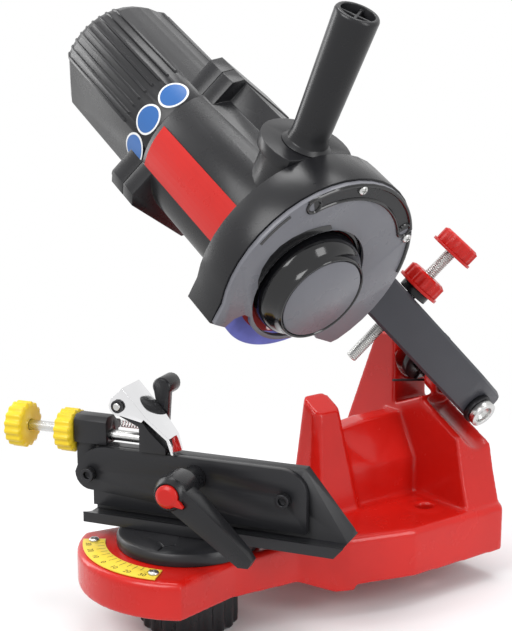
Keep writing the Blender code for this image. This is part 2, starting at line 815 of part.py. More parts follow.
def spine():
    """The ridge from the post back to the tower: upright walls under a sloped roof."""
    def ring(y, half, wall, ridge, ridge_half):
        return [
            (half, y, -BASE_EDGE),
            (half, y, wall),
            (ridge_half, y, ridge),
            (-ridge_half, y, ridge),
            (-half, y, wall),
            (-half, y, -BASE_EDGE),
        ]
    middle = (SPINE_FRONT_Y + TOWER_FRONT_Y) / 2
    rear = TOWER_FRONT_Y + OVERRUN
    dip = SPINE_RIDGE - RIB_HALF
    return lofted([
        ring(SPINE_FRONT_Y, SPINE_HALF, SPINE_WALL + RIB_HALF, dip, SPINE_RIDGE_HALF),
        ring(middle, SPINE_HALF, SPINE_WALL, SPINE_RIDGE, SPINE_RIDGE_HALF),
        ring(rear, SPINE_REAR_HALF, SPINE_WALL, SPINE_RIDGE, SPINE_RIDGE_HALF),
    ])


def tower():
    """The gabled block at the rear, with the spring's bay between its two cheeks."""
    face = [
        (-TOWER_LEFT_FOOT, -BASE_EDGE),
        (TOWER_RIGHT_MID_X + CAVITY_RIGHT_X / 4, -BASE_EDGE),
        (TOWER_RIGHT_MID_X, TOWER_RIGHT_MID_Z),
        (TOWER_RIGHT_TOP_X, TOWER_RIGHT_TOP_Z),
        (CAVITY_RIGHT_X, CAVITY_RIGHT_Z),
        (-CAVITY_LEFT_X, CAVITY_FLOOR_Z),
        (-CAVITY_LEFT_X, TOWER_TOP_Z),
        (-TOWER_TOP_X, TOWER_TOP_Z),
        (-TOWER_LEFT_TOP_X, TOWER_LEFT_TOP_Z),
        (-TOWER_LEFT_MID_X, TOWER_LEFT_MID_Z),
    ]
    depths = (TOWER_FRONT_Y, REAR_Y - TOWER_REAR_SET)
    return lofted([[(x, y, z) for x, z in face] for y in depths])


def pivot_matrix():
    """The pivot frame, seen from the base's own coordinates."""
    frame = bpy.data.objects["pivot_axis"]
    return frame.matrix_local.copy()


def build_base(frame):
    base = base_slab()
    cut(base, base_hollow())
    fuse(base, tower())
    fuse(base, spine())
    fuse(base, post())
    pivot = pivot_matrix()
    boss = rod(CHEEK_BOSS_R, -CHEEK_INNER - OVERRUN, -CHEEK_OUTER + OVERRUN, ROUND)
    fuse(base, moved(boss, pivot))
    fuse(base, moved(rod(LEFT_BOSS_R, -LEFT_BOSS_END, -LEFT_BOSS_START + OVERRUN, ROUND), pivot))
    cut(base, moved(arm_sweep(), pivot))
    cut(base, moved(drum_room(), pivot))
    hub = hub_radius() + RUNNING
    cut(base, moved(rod(hub, -CHEEK_INNER - OVERRUN, OVERRUN, ROUND), pivot))
    cut(base, moved(rod(PIN_R + GAP, -PIN_END - OVERRUN, -HUB_END, SMALL), pivot))
    for side in (-1, 1):
        place = shift(side * BOLT_X, TURN_TO_BOLTS)
        step = turned([
            (0, -BASE_SKIN / 2),
            (BOLT_BOSS_R, -BASE_SKIN / 2),
            (BOLT_BOSS_R, BOLT_BOSS_RISE / 2),
            (BOLT_STEP_R, BOLT_BOSS_RISE / 2),
            (BOLT_STEP_R, BOLT_BOSS_RISE),
            (0, BOLT_BOSS_RISE),
        ], SMALL)
        fuse(base, moved(step, place))
        cut(base, moved(rod(BOLT_HOLE_R, -BASE_HEIGHT - OVERRUN, OVERRUN, SMALL), place))
    cut(base, rod(STUD_BORE_R, -BASE_HEIGHT, OVERRUN, SMALL))
    cut(base, rod(LOCK_KNOB_R + LOCK_KNOB_CLEAR, -BASE_HEIGHT - OVERRUN, -NOSE_DEPTH, ROUND))
    for place in scale_screw_places():
        hole = rod(SCALE_SCREW_SHANK_R + GAP, -SCALE_SCREW_LENGTH - GAP, OVERRUN, TINY)
        cut(base, moved(hole, place))
    settle(base, frame, RED_PAINT)


def hub_radius():
    return PIN_R + GAP + BUSH_WALL + GAP + HUB_WALL


def arm_sweep():
    """The room round the arm's end at every angle of the swing."""
    sweep = solid("arm_room", rod(ARM_SWEEP_R, -CHEEK_OUTER, HEAD_LENGTH + REAR_X, ROUND))
    ahead = box(
        (0, -CHEEK_BOSS_R, -CHEEK_OUTER),
        (ARM_FOLD + NECK_X, ARM_SWEEP_BELOW, HEAD_LENGTH + REAR_X),
    )
    fuse(sweep, moved(ahead, Matrix.Rotation(ARM_SWEEP + ARM_LEAN, 4, "Z")))
    tool = bmesh.new()
    tool.from_mesh(sweep.data)
    bpy.data.objects.remove(sweep, do_unlink=True)
    return tool


def drum_room():
    """The bay that the spring and its drum turn in."""
    return rod(DRUM_R + 2 * RUNNING, -LEFT_BOSS_START, -CHEEK_INNER, ROUND)


# Angle scale

def scale_screw_places():
    turns = (-math.pi / 2 + side * SCALE_SCREW_ANGLE for side in (-1, 1))
    radius = SCALE_SCREW_RADIUS
    return [shift(radius * math.cos(a), radius * math.sin(a)) for a in turns]


def build_scale(frame):
    start = -math.pi / 2 - SCALE_HALF_SWEEP
    end = -math.pi / 2 + SCALE_HALF_SWEEP
    outline = arc((0, 0), SCALE_OUTER_R, start, end, 16) + arc((0, 0), SCALE_INNER_R, end, start, 16)
    plate = solid("scale_plate", prism(outline, GAP, GAP + SCALE_THICK))
    for place in scale_screw_places():
        cut(plate, moved(rod(SCALE_SCREW_SHANK_R + GAP, -OVERRUN, OVERRUN, TINY), place))
    settle(plate, frame, YELLOW_PLATE)
    seat = GAP + SCALE_THICK + GAP
    for side, place in zip(("left", "right"), scale_screw_places()):
        screw = turned([
            (0, -SCALE_SCREW_LENGTH),
            (SCALE_SCREW_SHANK_R, -SCALE_SCREW_LENGTH),
            (SCALE_SCREW_SHANK_R, seat),
            (SCALE_SCREW_R, seat),
            (SCALE_SCREW_R, seat + SCALE_SCREW_HEAD / 2),
            (SCALE_SCREW_R / 2, seat + SCALE_SCREW_HEAD),
            (0, seat + SCALE_SCREW_HEAD),
        ], TINY)
        settle(solid("scale_screw_" + side, moved(screw, place)), frame, BRIGHT_STEEL)


# Turntable and its clamp

def build_turntable(frame):
    low = GAP
    top = TURNTABLE_HEIGHT
    disc = solid("turntable", turned([
        (CLAMP_STUD_R + GAP, low),
        (TURNTABLE_R, low),
        (TURNTABLE_R, top - TURNTABLE_SHOULDER),
        (TURNTABLE_R - TURNTABLE_SHOULDER / 3, top - TURNTABLE_SHOULDER / 3),
        (TURNTABLE_R - TURNTABLE_SHOULDER, top),
        (CLAMP_STUD_R + GAP, top),
    ], WIDE))
    tip = -TURNTABLE_R + TURNTABLE_SHOULDER + POINTER_LENGTH / 3
    line = POINTER_LINE
    shoulder = tip + POINTER_LENGTH / 2
    inner = POINTER_HALF - 2 * line
    pointer = [
        (0, tip),
        (POINTER_HALF, shoulder),
        (inner, shoulder + line),
        (0, tip + 3 * line),
        (-inner, shoulder + line),
        (-POINTER_HALF, shoulder),
    ]
    cut(disc, prism(pointer, top - POINTER_DEPTH, top + OVERRUN))
    groove = box((-line, -TURNTABLE_R - OVERRUN, top - POINTER_DEPTH), (line, tip + line, top + OVERRUN))
    cut(disc, groove)
    settle(disc, frame, BLACK_CASTING)


def build_clamp(frame, base_frame):
    """The stud down through the nose and the big knob under it."""
    knob_top = -NOSE_DEPTH - SEAT
    end = knob_top - LOCK_KNOB_HEIGHT + LOCK_KNOB_HEIGHT / 4
    stud = rod(CLAMP_STUD_R, end, RAIL_FOOT_THICK / 2 + TURNTABLE_HEIGHT, SMALL)
    settle(solid("clamp_stud", stud), frame, BRIGHT_STEEL)
    outline = ribbed_outline(LOCK_KNOB_R, LOCK_KNOB_ROOT_R, LOCK_KNOB_RIBS)
    bottom = knob_top - LOCK_KNOB_HEIGHT
    bevel = LOCK_KNOB_R - LOCK_KNOB_ROOT_R
    inner = [(x * LOCK_KNOB_ROOT_R / LOCK_KNOB_R, y * LOCK_KNOB_ROOT_R / LOCK_KNOB_R) for x, y in outline]
    rings = [(inner, bottom), (outline, bottom + bevel), (outline, knob_top - bevel), (inner, knob_top)]
    knob = solid("lock_knob", lofted([[(x, y, z) for x, y in ring] for ring, z in rings]))
    cut(knob, rod(CLAMP_STUD_R + GAP, end - GAP, knob_top + OVERRUN, SMALL))
    settle(knob, base_frame, BLACK_PLASTIC)


# Chain vise

def lay(points, low, high):
    """Extrude an outline of (u, z) points from one v to another."""
    return lofted([[(u, v, z) for u, z in points] for v in (high, low)])


def rail_end(z):
    """How far the rail reaches to the right at a height."""
    steps = [
        (TURNTABLE_HEIGHT, RAIL_RIGHT_FOOT_U),
        (TURNTABLE_HEIGHT + RAIL_RIGHT_END_RISE, RAIL_RIGHT_END_U),
        (RAIL_TOP - RAIL_RIGHT_MID_DROP, RAIL_RIGHT_MID_U),
        (RAIL_TOP, RAIL_RIGHT_TOP_U),
    ]
    for (low, start), (high, end) in zip(steps, steps[1:]):
        if z <= high:
            return start + (end - start) * (z - low) / (high - low)
    return RAIL_RIGHT_TOP_U


def build_rail(frame):
    """The rear jaw and its splayed foot, one casting bolted to the turntable."""
    foot = TURNTABLE_HEIGHT + GAP
    rise = foot + RAIL_FOOT_THICK
    jaw = SLOT / 2
    back = jaw + RAIL_WALL
    front = jaw
    section = [
        (RAIL_FOOT_FRONT_V, foot),
        (RAIL_FOOT_REAR_V, foot),
        (RAIL_FOOT_REAR_V, rise),
        (back + RAIL_FILLET / 3, rise + RAIL_FILLET / 3),
        (back, rise + RAIL_FILLET),
        (back, RAIL_TOP),
        (front, RAIL_TOP),
        (front, rise - RAIL_FOOT_THICK / 3),
        (-SLOT / 2 - PLATE_THICK - PLATE_PLAY, rise - RAIL_FOOT_THICK / 3),
        (RAIL_FOOT_FRONT_V + RAIL_FOOT_THICK, rise),
        (RAIL_FOOT_FRONT_V, rise + RAIL_FOOT_THICK / 3),
    ]
    left = [(RAIL_LEFT_U, v, z) for v, z in section]
    right = [(rail_end(z), v, z) for v, z in section]
    rail = solid("vise_rail", lofted([left, right]))
    for side in (-1, 1):
        place = shift(side * PLATE_SCREW_U, back + OVERRUN, PLATE_SCREW_Z) @ Matrix.Rotation(math.pi / 2, 4, "X")
        cut(rail, moved(rod(PLATE_SCREW_R + GAP, 0, back + OVERRUN, TINY), place))
    stud = shift(LEVER_U, back + OVERRUN, LEVER_Z) @ Matrix.Rotation(math.pi / 2, 4, "X")
    cut(rail, moved(rod(LEVER_STUD_R + GAP, 0, back + OVERRUN, TINY), stud))
    cut(rail, rod(CLAMP_STUD_R + GAP, 0, RAIL_FOOT_THICK / 2 + TURNTABLE_HEIGHT + GAP, SMALL))
    settle(rail, frame, BLACK_CASTING)


def plate_outline():
    """The front jaw plate: straight top, round ears at the screws, cut away below the left ear."""
    top = RAIL_TOP
    ear_low = PLATE_SCREW_Z - PLATE_EAR_R
    left = arc((-PLATE_SCREW_U, PLATE_SCREW_Z), PLATE_EAR_R, math.pi, math.pi * 3 / 2, 6)
    shoulder = arc(
        (-PLATE_SCREW_U + PLATE_EAR_R, top - 2 * PLATE_EAR_R), 2 * PLATE_EAR_R, math.pi / 2, math.pi * 0.92, 5)
    right_round = PLATE_EAR_R + PLATE_THICK
    right = arc((PLATE_RIGHT_U - right_round, top - right_round), right_round, 0, math.pi / 2, 6)
    return (
        [(PLATE_NOTCH_U, ear_low), (PLATE_NOTCH_U, PLATE_BOTTOM), (PLATE_RIGHT_U, PLATE_BOTTOM)]
        + right + shoulder + left
    )


def build_plate(frame):
    front = -SLOT / 2 - PLATE_THICK
    plate = solid("clamp_plate", lay(plate_outline(), front, -SLOT / 2))
    for side in (-1, 1):
        place = shift(side * PLATE_SCREW_U, 0, PLATE_SCREW_Z) @ Matrix.Rotation(math.pi / 2, 4, "X")
        cut(plate, moved(rod(PLATE_SCREW_R + GAP, -OVERRUN, -front + OVERRUN, TINY), place))
    place = shift(LEVER_U, 0, LEVER_Z) @ Matrix.Rotation(math.pi / 2, 4, "X")
    cut(plate, moved(rod(LEVER_STUD_R + GAP, -OVERRUN, -front + OVERRUN, TINY), place))
    settle(plate, frame, BLACK_CASTING)
    reach = SLOT / 2 + RAIL_WALL
    for name, side in (("plate_screw_left", -1), ("plate_screw_right", 1)):
        head = -front + PLATE_PLAY
        socket = PLATE_SCREW_R
        screw = turned([
            (0, -reach),
            (PLATE_SCREW_R, -reach),
            (PLATE_SCREW_R, head),
            (PLATE_SCREW_HEAD_R, head),
            (PLATE_SCREW_HEAD_R, head + PLATE_SCREW_HEAD),
            (socket, head + PLATE_SCREW_HEAD),
            (socket, head + PLATE_SCREW_HEAD / 3),
            (0, head + PLATE_SCREW_HEAD / 3),
        ], TINY)
        place = shift(side * PLATE_SCREW_U, 0, PLATE_SCREW_Z) @ Matrix.Rotation(math.pi / 2, 4, "X")
        settle(solid(name, moved(screw, place)), frame, BLACK_STEEL)


# Clamp lever, built along its own axis: z points out of the vise's front

def lever_seat():
    return SLOT / 2 + PLATE_THICK + PLATE_PLAY


def build_lever(frame):
    seat = lever_seat()
    neck_end = seat + LEVER_NECK
    front = neck_end + LEVER_HUB
    hub = solid("clamp_lever", turned([
        (LEVER_STUD_R + GAP, seat),
        (LEVER_NECK_R, seat),
        (LEVER_NECK_R, neck_end),
        (LEVER_HUB_R, neck_end + LEVER_NECK_R / 2),
        (LEVER_HUB_R, front - LEVER_NECK_R / 2),
        (LEVER_HUB_R - LEVER_NECK_R / 3, front),
        (LEVER_STUD_R + GAP, front),
    ], SMALL))
    turn = Matrix.Rotation(-LEVER_DROP, 4, "Z")
    root = front - LEVER_NECK_R / 3
    tip = root + LEVER_RISE
    sections = (
        (0, LEVER_ROOT_HALF, root - LEVER_ROOT_THICK, root),
        (LEVER_HUB_R * 1.4, LEVER_ROOT_HALF, root - LEVER_ROOT_THICK + LEVER_RISE / 8, root + LEVER_RISE / 6),
        (LEVER_LENGTH - LEVER_TIP_HALF, LEVER_TIP_HALF, tip - LEVER_TIP_THICK, tip),
        (LEVER_LENGTH, LEVER_TIP_HALF / 2, tip - LEVER_TIP_THICK, tip - LEVER_TIP_HALF / 4),
    )
    rings = []
    for along, half, low, high in sections:
        rings.append([(along, -half, low), (along, half, low), (along, half, high), (along, -half, high)])
    fuse(hub, moved(lofted(rings), turn))
    cut(hub, rod(LEVER_STUD_R + GAP, 0, front - BUTTON_DEPTH, TINY))
    cut(hub, rod(BUTTON_R + RUNNING, front - BUTTON_DEPTH, front + LEVER_RISE, SMALL))
    cut(hub, moved(button_tail(RUNNING, front - BUTTON_DEPTH, front + LEVER_RISE), turn))
    settle(hub, frame, BLACK_PLASTIC)
    low = front - BUTTON_DEPTH + 2 * BUTTON_DEPTH / 3
    button = solid("lever_button", turned([
        (0, low),
        (BUTTON_R, low),
        (BUTTON_R, front + BUTTON_RISE / 2),
        (BUTTON_R * 2 / 3, front + BUTTON_RISE),
        (0, front + BUTTON_RISE),
    ], SMALL))
    fuse(button, moved(button_tail(0, low, front + BUTTON_RISE / 2), turn))
    settle(button, frame, RED_PLASTIC)
    stud = rod(LEVER_STUD_R, -SLOT / 2 - RAIL_WALL, front - BUTTON_DEPTH - SEAT, TINY)
    settle(solid("lever_stud", stud), frame, BRIGHT_STEEL)


def button_tail(extra, low, high):
    """The button's pointed end, which runs out along the lever's arm."""
    half = BUTTON_R * 0.7 + extra
    tip = BUTTON_TAIL + extra
    return prism([(0, -half), (tip, -extra - RUNNING), (tip, extra + RUNNING), (0, half)], low, high)


# Chain stop

def build_block(frame):
    section = [
        (ROD_V - BLOCK_HALF_V, RAIL_TOP + GAP),
        (ROD_V - BLOCK_HALF_V, BLOCK_TOP - BLOCK_CHAMFER / 2),
        (ROD_V - BLOCK_HALF_V + BLOCK_CHAMFER / 2, BLOCK_TOP),
        (ROD_V + BLOCK_HALF_V - BLOCK_CHAMFER, BLOCK_TOP),
        (ROD_V + BLOCK_HALF_V, BLOCK_TOP - BLOCK_CHAMFER),
        (ROD_V + BLOCK_HALF_V, RAIL_TOP + GAP),
    ]
    block = solid("guide_block", lofted([[(u, v, z) for v, z in section] for u in (BLOCK_LEFT_U, BLOCK_RIGHT_U)]))
    skirt = box(
        (BLOCK_LEFT_U, SLOT / 2 + GAP, BLOCK_BOTTOM),
        (RAIL_LEFT_U - GAP, ROD_V + BLOCK_HALF_V, RAIL_TOP + RAIL_WALL),
    )
    fuse(block, skirt)
    bore = shift(BLOCK_LEFT_U - OVERRUN, ROD_V, ROD_Z) @ along_x()
    cut(block, moved(rod(ROD_R + GAP, 0, BLOCK_RIGHT_U - BLOCK_LEFT_U + 2 * OVERRUN, SMALL), bore))
    boss_start = shift(BLOCK_RIGHT_U - OVERRUN, STOP_SPRING_V, STOP_SPRING_Z) @ along_x()
    ear = STOP_SPRING_R + 2 * STOP_SPRING_WIRE_R
    fuse(block, moved(rod(ear, -OVERRUN, OVERRUN - GAP, TINY), boss_start))
    settle(block, frame, BLACK_CASTING)


def knurled(name, outer, root, ribs, low, high, bore):
    """A ribbed knob with softened ends and a plain bore through it."""
    outline = ribbed_outline(outer, root, ribs)
    edge = (outer - root) * 1.2
    share = (root - edge) / outer
    inner = [(x * share, y * share) for x, y in outline]
    rings = [(inner, low), (outline, low + edge), (outline, high - edge), (inner, high)]
    knob = solid(name, lofted([[(x, y, z) for x, y in ring] for ring, z in rings]))
    if bore:
        cut(knob, rod(bore, low - OVERRUN, high + OVERRUN, SMALL))
    return knob


def build_adjuster(frame):
    """The steel rod along the rail, its knob at the left end and the lock knob at the block."""
    left = ADJUST_KNOB_U - ADJUST_KNOB_LENGTH / 2
    steel = rod(ROD_R, left, ROD_RIGHT_U - GAP, SMALL, ROD_R / 5)
    settle(solid("adjuster_rod", steel), frame, BRIGHT_STEEL)
    knob = knurled(
        "adjuster_knob", ADJUST_KNOB_R, ADJUST_KNOB_ROOT_R, ADJUST_KNOB_RIBS,
        ADJUST_KNOB_U - ADJUST_KNOB_LENGTH, ADJUST_KNOB_U, 0)
    cut(knob, rod(ROD_R + GAP, left - GAP, ADJUST_KNOB_U + OVERRUN, SMALL))
    settle(knob, frame, YELLOW_PLASTIC)
    lock = knurled(
        "adjuster_lock_knob", ADJUST_KNOB_R - (ADJUST_KNOB_R - ADJUST_KNOB_ROOT_R), ADJUST_KNOB_ROOT_R * 0.93,
        ADJUST_KNOB_RIBS, ADJUST_LOCK_U - ADJUST_KNOB_LENGTH, ADJUST_LOCK_U, ROD_R + GAP)
    settle(lock, frame, YELLOW_PLASTIC)


def bracket_section():
    """The carriage's side view: a foot over the jaws, rising to the ears of the pin."""
    rise = BRACKET_SHOULDER_Z
    return [
        (BRACKET_LEFT_U, BRACKET_BOTTOM),
        (BRACKET_RIGHT_U, BRACKET_BOTTOM),
        (BRACKET_RIGHT_U, BRACKET_NOSE_Z),
        (FINGER_MID_U + FINGER_SHEET, rise),
        (PIN_U + EAR_R * 1.1, PIN_Z + EAR_R * 0.35),
        (PIN_U, PIN_Z + EAR_R * 0.85),
        (PIN_U - EAR_R * 0.8, PIN_Z),
        (PIN_U - EAR_R * 0.2, PIN_Z - EAR_R),
        (BRACKET_LEFT_U, rise + EAR_R / 2),
    ]


def build_bracket(frame):
    low = FINGER_V_FRONT + FINGER_SHEET + SEAT
    high = FINGER_V_BACK - FINGER_SHEET - SEAT
    bracket = solid("stop_carriage", lay(bracket_section(), low, high))
    bore = shift(0, high + OVERRUN, 0) @ Matrix.Translation((PIN_U, 0, PIN_Z)) @ Matrix.Rotation(math.pi / 2, 4, "X")
    cut(bracket, moved(rod(STOP_PIN_R + GAP, 0, high - low + 2 * OVERRUN, TINY), bore))
    seat = along_x(shift(BRACKET_LEFT_U - OVERRUN, ROD_V, ROD_Z))
    cut(bracket, moved(rod(ROD_R + GAP, 0, OVERRUN + (ROD_RIGHT_U - BRACKET_LEFT_U), SMALL), seat))
    ear_top = STOP_SPRING_Z + STOP_SPRING_R * 1.4
    ear = box(
        (BRACKET_LEFT_U + RUNNING, high - RAIL_FOOT_THICK / 2, BRACKET_BOTTOM + RUNNING),
        (BRACKET_LEFT_U + RAIL_FOOT_THICK, STOP_SPRING_V + STOP_SPRING_R * 1.4, ear_top),
    )
    fuse(bracket, ear)
    settle(bracket, frame, BLACK_CASTING)


def coil_points(radius, pitch, curls, points, start_angle=0.0):
    """Points of a helix round z that starts at z = 0."""
    spots = []
    for step in range(curls * points + 1):
        angle = start_angle + math.tau * step / points
        spots.append(Vector((radius * math.cos(angle), radius * math.sin(angle), pitch * step / points)))
    return spots


def least_gap(points, wire_radius, skip):
    """The least clear gap between turns of a wound wire."""
    least = min(
        (first - second).length
        for place, first in enumerate(points)
        for second in points[place + skip:]
    )
    return least - 2 * wire_radius


def wound_tube(name, points, wire_radius):
    """One unbroken tube with capped ends along a list of points."""
    curve = bpy.data.curves.new(name, "CURVE")
    curve.dimensions = "3D"
    curve.bevel_depth = wire_radius
    curve.bevel_resolution = 1
    curve.use_fill_caps = True
    spline = curve.splines.new("POLY")
    spline.points.add(len(points) - 1)
    for spot, point in zip(spline.points, points):
        spot.co = (*point, 1)
    helper = bpy.data.objects.new(name + "_curve", curve)
    bpy.context.scene.collection.objects.link(helper)
    bpy.context.view_layer.update()
    mesh = bpy.data.meshes.new_from_object(helper.evaluated_get(bpy.context.evaluated_depsgraph_get()))
    bpy.data.objects.remove(helper, do_unlink=True)
    shape = bmesh.new()
    shape.from_mesh(mesh)
    bmesh.ops.remove_doubles(shape, verts=shape.verts, dist=wire_radius / 20)
    return solid(name, shape)


def build_stop_spring(frame):
    """The small spring that pushes the carriage back against the rod."""
    length = (BRACKET_LEFT_U - GAP) - (STOP_SPRING_LEFT_U + GAP) - 2 * STOP_SPRING_WIRE_R
    pitch = length / STOP_SPRING_CURLS
    points = coil_points(STOP_SPRING_R, pitch, STOP_SPRING_CURLS, 8)
    print("stop_spring least gap, m:", round(least_gap(points, STOP_SPRING_WIRE_R, 6), 5))
    spring = wound_tube("stop_spring", points, STOP_SPRING_WIRE_R)
    start = STOP_SPRING_LEFT_U + GAP + STOP_SPRING_WIRE_R
    spring.data.transform(along_x(shift(start, STOP_SPRING_V, STOP_SPRING_Z)))
    settle(spring, frame, BRIGHT_STEEL)


def finger_path(drop=0.0):
    """The finger's side view from its top edge down to the tip, moved inwards by a drop."""
    return [
        (FINGER_TOP_U, FINGER_TOP_Z - drop),
        (FINGER_MID_U, FINGER_MID_Z - drop),
        (FINGER_LOW_U, FINGER_LOW_Z - drop),
        (FINGER_TIP_U, FINGER_TIP_Z),
    ]


def build_finger(frame):
    """The chromed stop finger: a folded sheet with two ears on the pin and a turned-down tip."""
    sheet = FINGER_SHEET
    outer = finger_path()
    widths = (
        (FINGER_V_FRONT, FINGER_V_BACK),
        (FINGER_V_FRONT, FINGER_V_BACK),
        (FINGER_TIP_FRONT, FINGER_TIP_BACK),
        (FINGER_TIP_FRONT, FINGER_TIP_BACK),
    )
    inner = [
        (FINGER_TOP_U - sheet, FINGER_TOP_Z - sheet),
        (FINGER_MID_U - sheet * 0.8, FINGER_MID_Z - sheet),
        (FINGER_LOW_U - sheet * 1.1, FINGER_LOW_Z - sheet * 0.7),
        (FINGER_TIP_U - sheet, FINGER_TIP_Z),
    ]
    rings = []
    for (u, z), (iu, iz), (front, back) in zip(outer, inner, widths):
        rings.append([(u, front, z), (u, back, z), (iu, back, iz), (iu, front, iz)])
    finger = solid("stop_finger", lofted(rings))
    cheek = [
        (FINGER_TOP_U, FINGER_TOP_Z - sheet / 3),
        (PIN_U - EAR_R * 0.75, PIN_Z + EAR_R * 0.75),
    ] + arc((PIN_U, PIN_Z), EAR_R, math.pi, math.pi * 1.6, 6) + [
        (FINGER_MID_U - sheet * 2, FINGER_MID_Z - sheet * 2),
        (FINGER_MID_U - sheet / 2, FINGER_MID_Z - sheet / 3),
    ]
    for low in (FINGER_V_FRONT, FINGER_V_BACK - sheet):
        fuse(finger, lay(cheek, low, low + sheet))
    bore = Matrix.Translation((PIN_U, FINGER_V_BACK + OVERRUN, PIN_Z)) @ Matrix.Rotation(math.pi / 2, 4, "X")
    span = FINGER_V_BACK - FINGER_V_FRONT
    cut(finger, moved(rod(STOP_PIN_R + GAP, 0, span + 2 * OVERRUN, TINY), bore))
    settle(finger, frame, CHROME)


def build_finger_pin(frame):
    """The pin through the ears and the ring clip on its front end."""
    front = FINGER_V_FRONT - CIRCLIP_THICK * 2.5
    turn = Matrix.Translation((PIN_U, 0, PIN_Z)) @ Matrix.Rotation(math.pi / 2, 4, "X")
    pin = turned([
        (0, -FINGER_V_BACK - CIRCLIP_THICK * 2),
        (STOP_PIN_R * 1.5, -FINGER_V_BACK - CIRCLIP_THICK * 2),
        (STOP_PIN_R * 1.5, -FINGER_V_BACK - GAP),
        (STOP_PIN_R, -FINGER_V_BACK - GAP),
        (STOP_PIN_R, -front - STOP_PIN_R / 5),
        (STOP_PIN_R * 4 / 5, -front),
        (0, -front),
    ], TINY)
    settle(solid("stop_pin", moved(pin, turn)), frame, BRIGHT_STEEL)
    seat = -FINGER_V_FRONT + GAP
    clip = tube(STOP_PIN_R + GAP, CIRCLIP_R, seat, seat + CIRCLIP_THICK, TINY)
    settle(solid("stop_circlip", moved(clip, turn)), frame, BLACK_STEEL)


def build_stop_handle(frame):
    """The black grip behind the finger, on a web that is seated on the finger's back cheek."""
    seat = FINGER_V_BACK + SEAT
    turn = Matrix.Translation((STOP_HANDLE_U, 0, STOP_HANDLE_Z)) @ Matrix.Rotation(math.pi / 2, 4, "X")
    grip = rod(STOP_HANDLE_R, -seat - STOP_HANDLE_LENGTH, -seat, SMALL, STOP_HANDLE_R / 6)
    handle = solid("stop_handle", moved(grip, turn))
    web = [
        (STOP_HANDLE_U - STOP_HANDLE_R * 0.8, STOP_HANDLE_Z - STOP_HANDLE_R / 3),
        (FINGER_MID_U - STOP_WEB_HALF, FINGER_LOW_Z + STOP_WEB_HALF),
        (FINGER_MID_U + STOP_WEB_HALF, FINGER_LOW_Z + STOP_WEB_HALF / 2),
        (STOP_HANDLE_U + STOP_HANDLE_R * 0.9, STOP_HANDLE_Z - STOP_HANDLE_R / 3),
    ]
    fuse(handle, lay(web, seat, seat + 2 * STOP_WEB_HALF))
    settle(handle, frame, BLACK_PLASTIC)


# Pivot, in the pivot frame: z runs out through the bolt head, x forwards to the spindle

def build_pivot(base_frame, arm_frame):
    pivot = pivot_matrix()
    neck = HUB_END - GAP
    bolt = turned([
        (0, -PIN_END),
        (PIN_R, -PIN_END),
        (PIN_R, -HEAD_LENGTH),
        (HEAD_R, -HEAD_LENGTH),
        (HEAD_R, 0),
        (SOCKET_R, 0),
        (SOCKET_R, -SOCKET_DEPTH / 2),
        (SOCKET_R * 0.7, -SOCKET_DEPTH),
        (0, -SOCKET_DEPTH),
    ], ROUND)
    settle(solid("pivot_bolt", moved(bolt, pivot)), base_frame, BRIGHT_STEEL)
    nut_top = -LEFT_BOSS_END - GAP
    hexagon = arc((0, 0), NUT_R, 0, math.tau * 5 / 6, 5)
    nut = solid("pivot_nut", prism(hexagon, nut_top - NUT_LENGTH, nut_top))
    cut(nut, rod(PIN_R + GAP, nut_top - NUT_LENGTH - OVERRUN, nut_top + OVERRUN, SMALL))
    nut.data.transform(pivot)
    settle(nut, base_frame, BRIGHT_STEEL)
    collar = tube(PIN_R + GAP, COLLAR_R, -ARM_FRONT + GAP, -HEAD_LENGTH - GAP, ROUND)
    settle(solid("pivot_collar", moved(collar, pivot)), base_frame, BLACK_STEEL)
    bush = tube(PIN_R + GAP, PIN_R + GAP + BUSH_WALL, -neck, -ARM_FRONT - GAP, SMALL)
    settle(solid("pivot_bush", bush), arm_frame, BRONZE)
    drum = tube(hub_radius() + GAP, DRUM_R, -DRUM_START - DRUM_LENGTH, -DRUM_START, ROUND)
    settle(solid("spring_drum", drum), arm_frame, BLACK_PLASTIC)


def build_return_spring(frame):
    """The torsion spring on the hub: one leg to the casting, one tucked against the drum."""
    mean = (hub_radius() + GAP + SPRING_WIRE_R) / math.cos(math.pi / SPRING_POINTS)
    start = SPRING_LEG_TURN
    coil = coil_points(mean, -SPRING_PITCH, SPRING_CURLS, SPRING_POINTS, start)
    first = coil[0]
    tangent = Vector((math.sin(start), -math.cos(start), 0))
    leg = [first + tangent * SPRING_LEG * step / 4 for step in range(4, 0, -1)]
    last = coil[-1]
    outward = Vector((math.cos(start), math.sin(start), 0))
    tail = [last + outward * SPRING_TAIL * step / 2 for step in (1, 2)]
    points = leg + coil + tail
    print("return_spring least gap, m:", round(least_gap(coil, SPRING_WIRE_R, 7), 5))
    spring = wound_tube("return_spring", points, SPRING_WIRE_R)
    spring.data.transform(shift(0, 0, -SPRING_START - SPRING_WIRE_R))
    settle(spring, frame, BLACK_STEEL)


# Arm

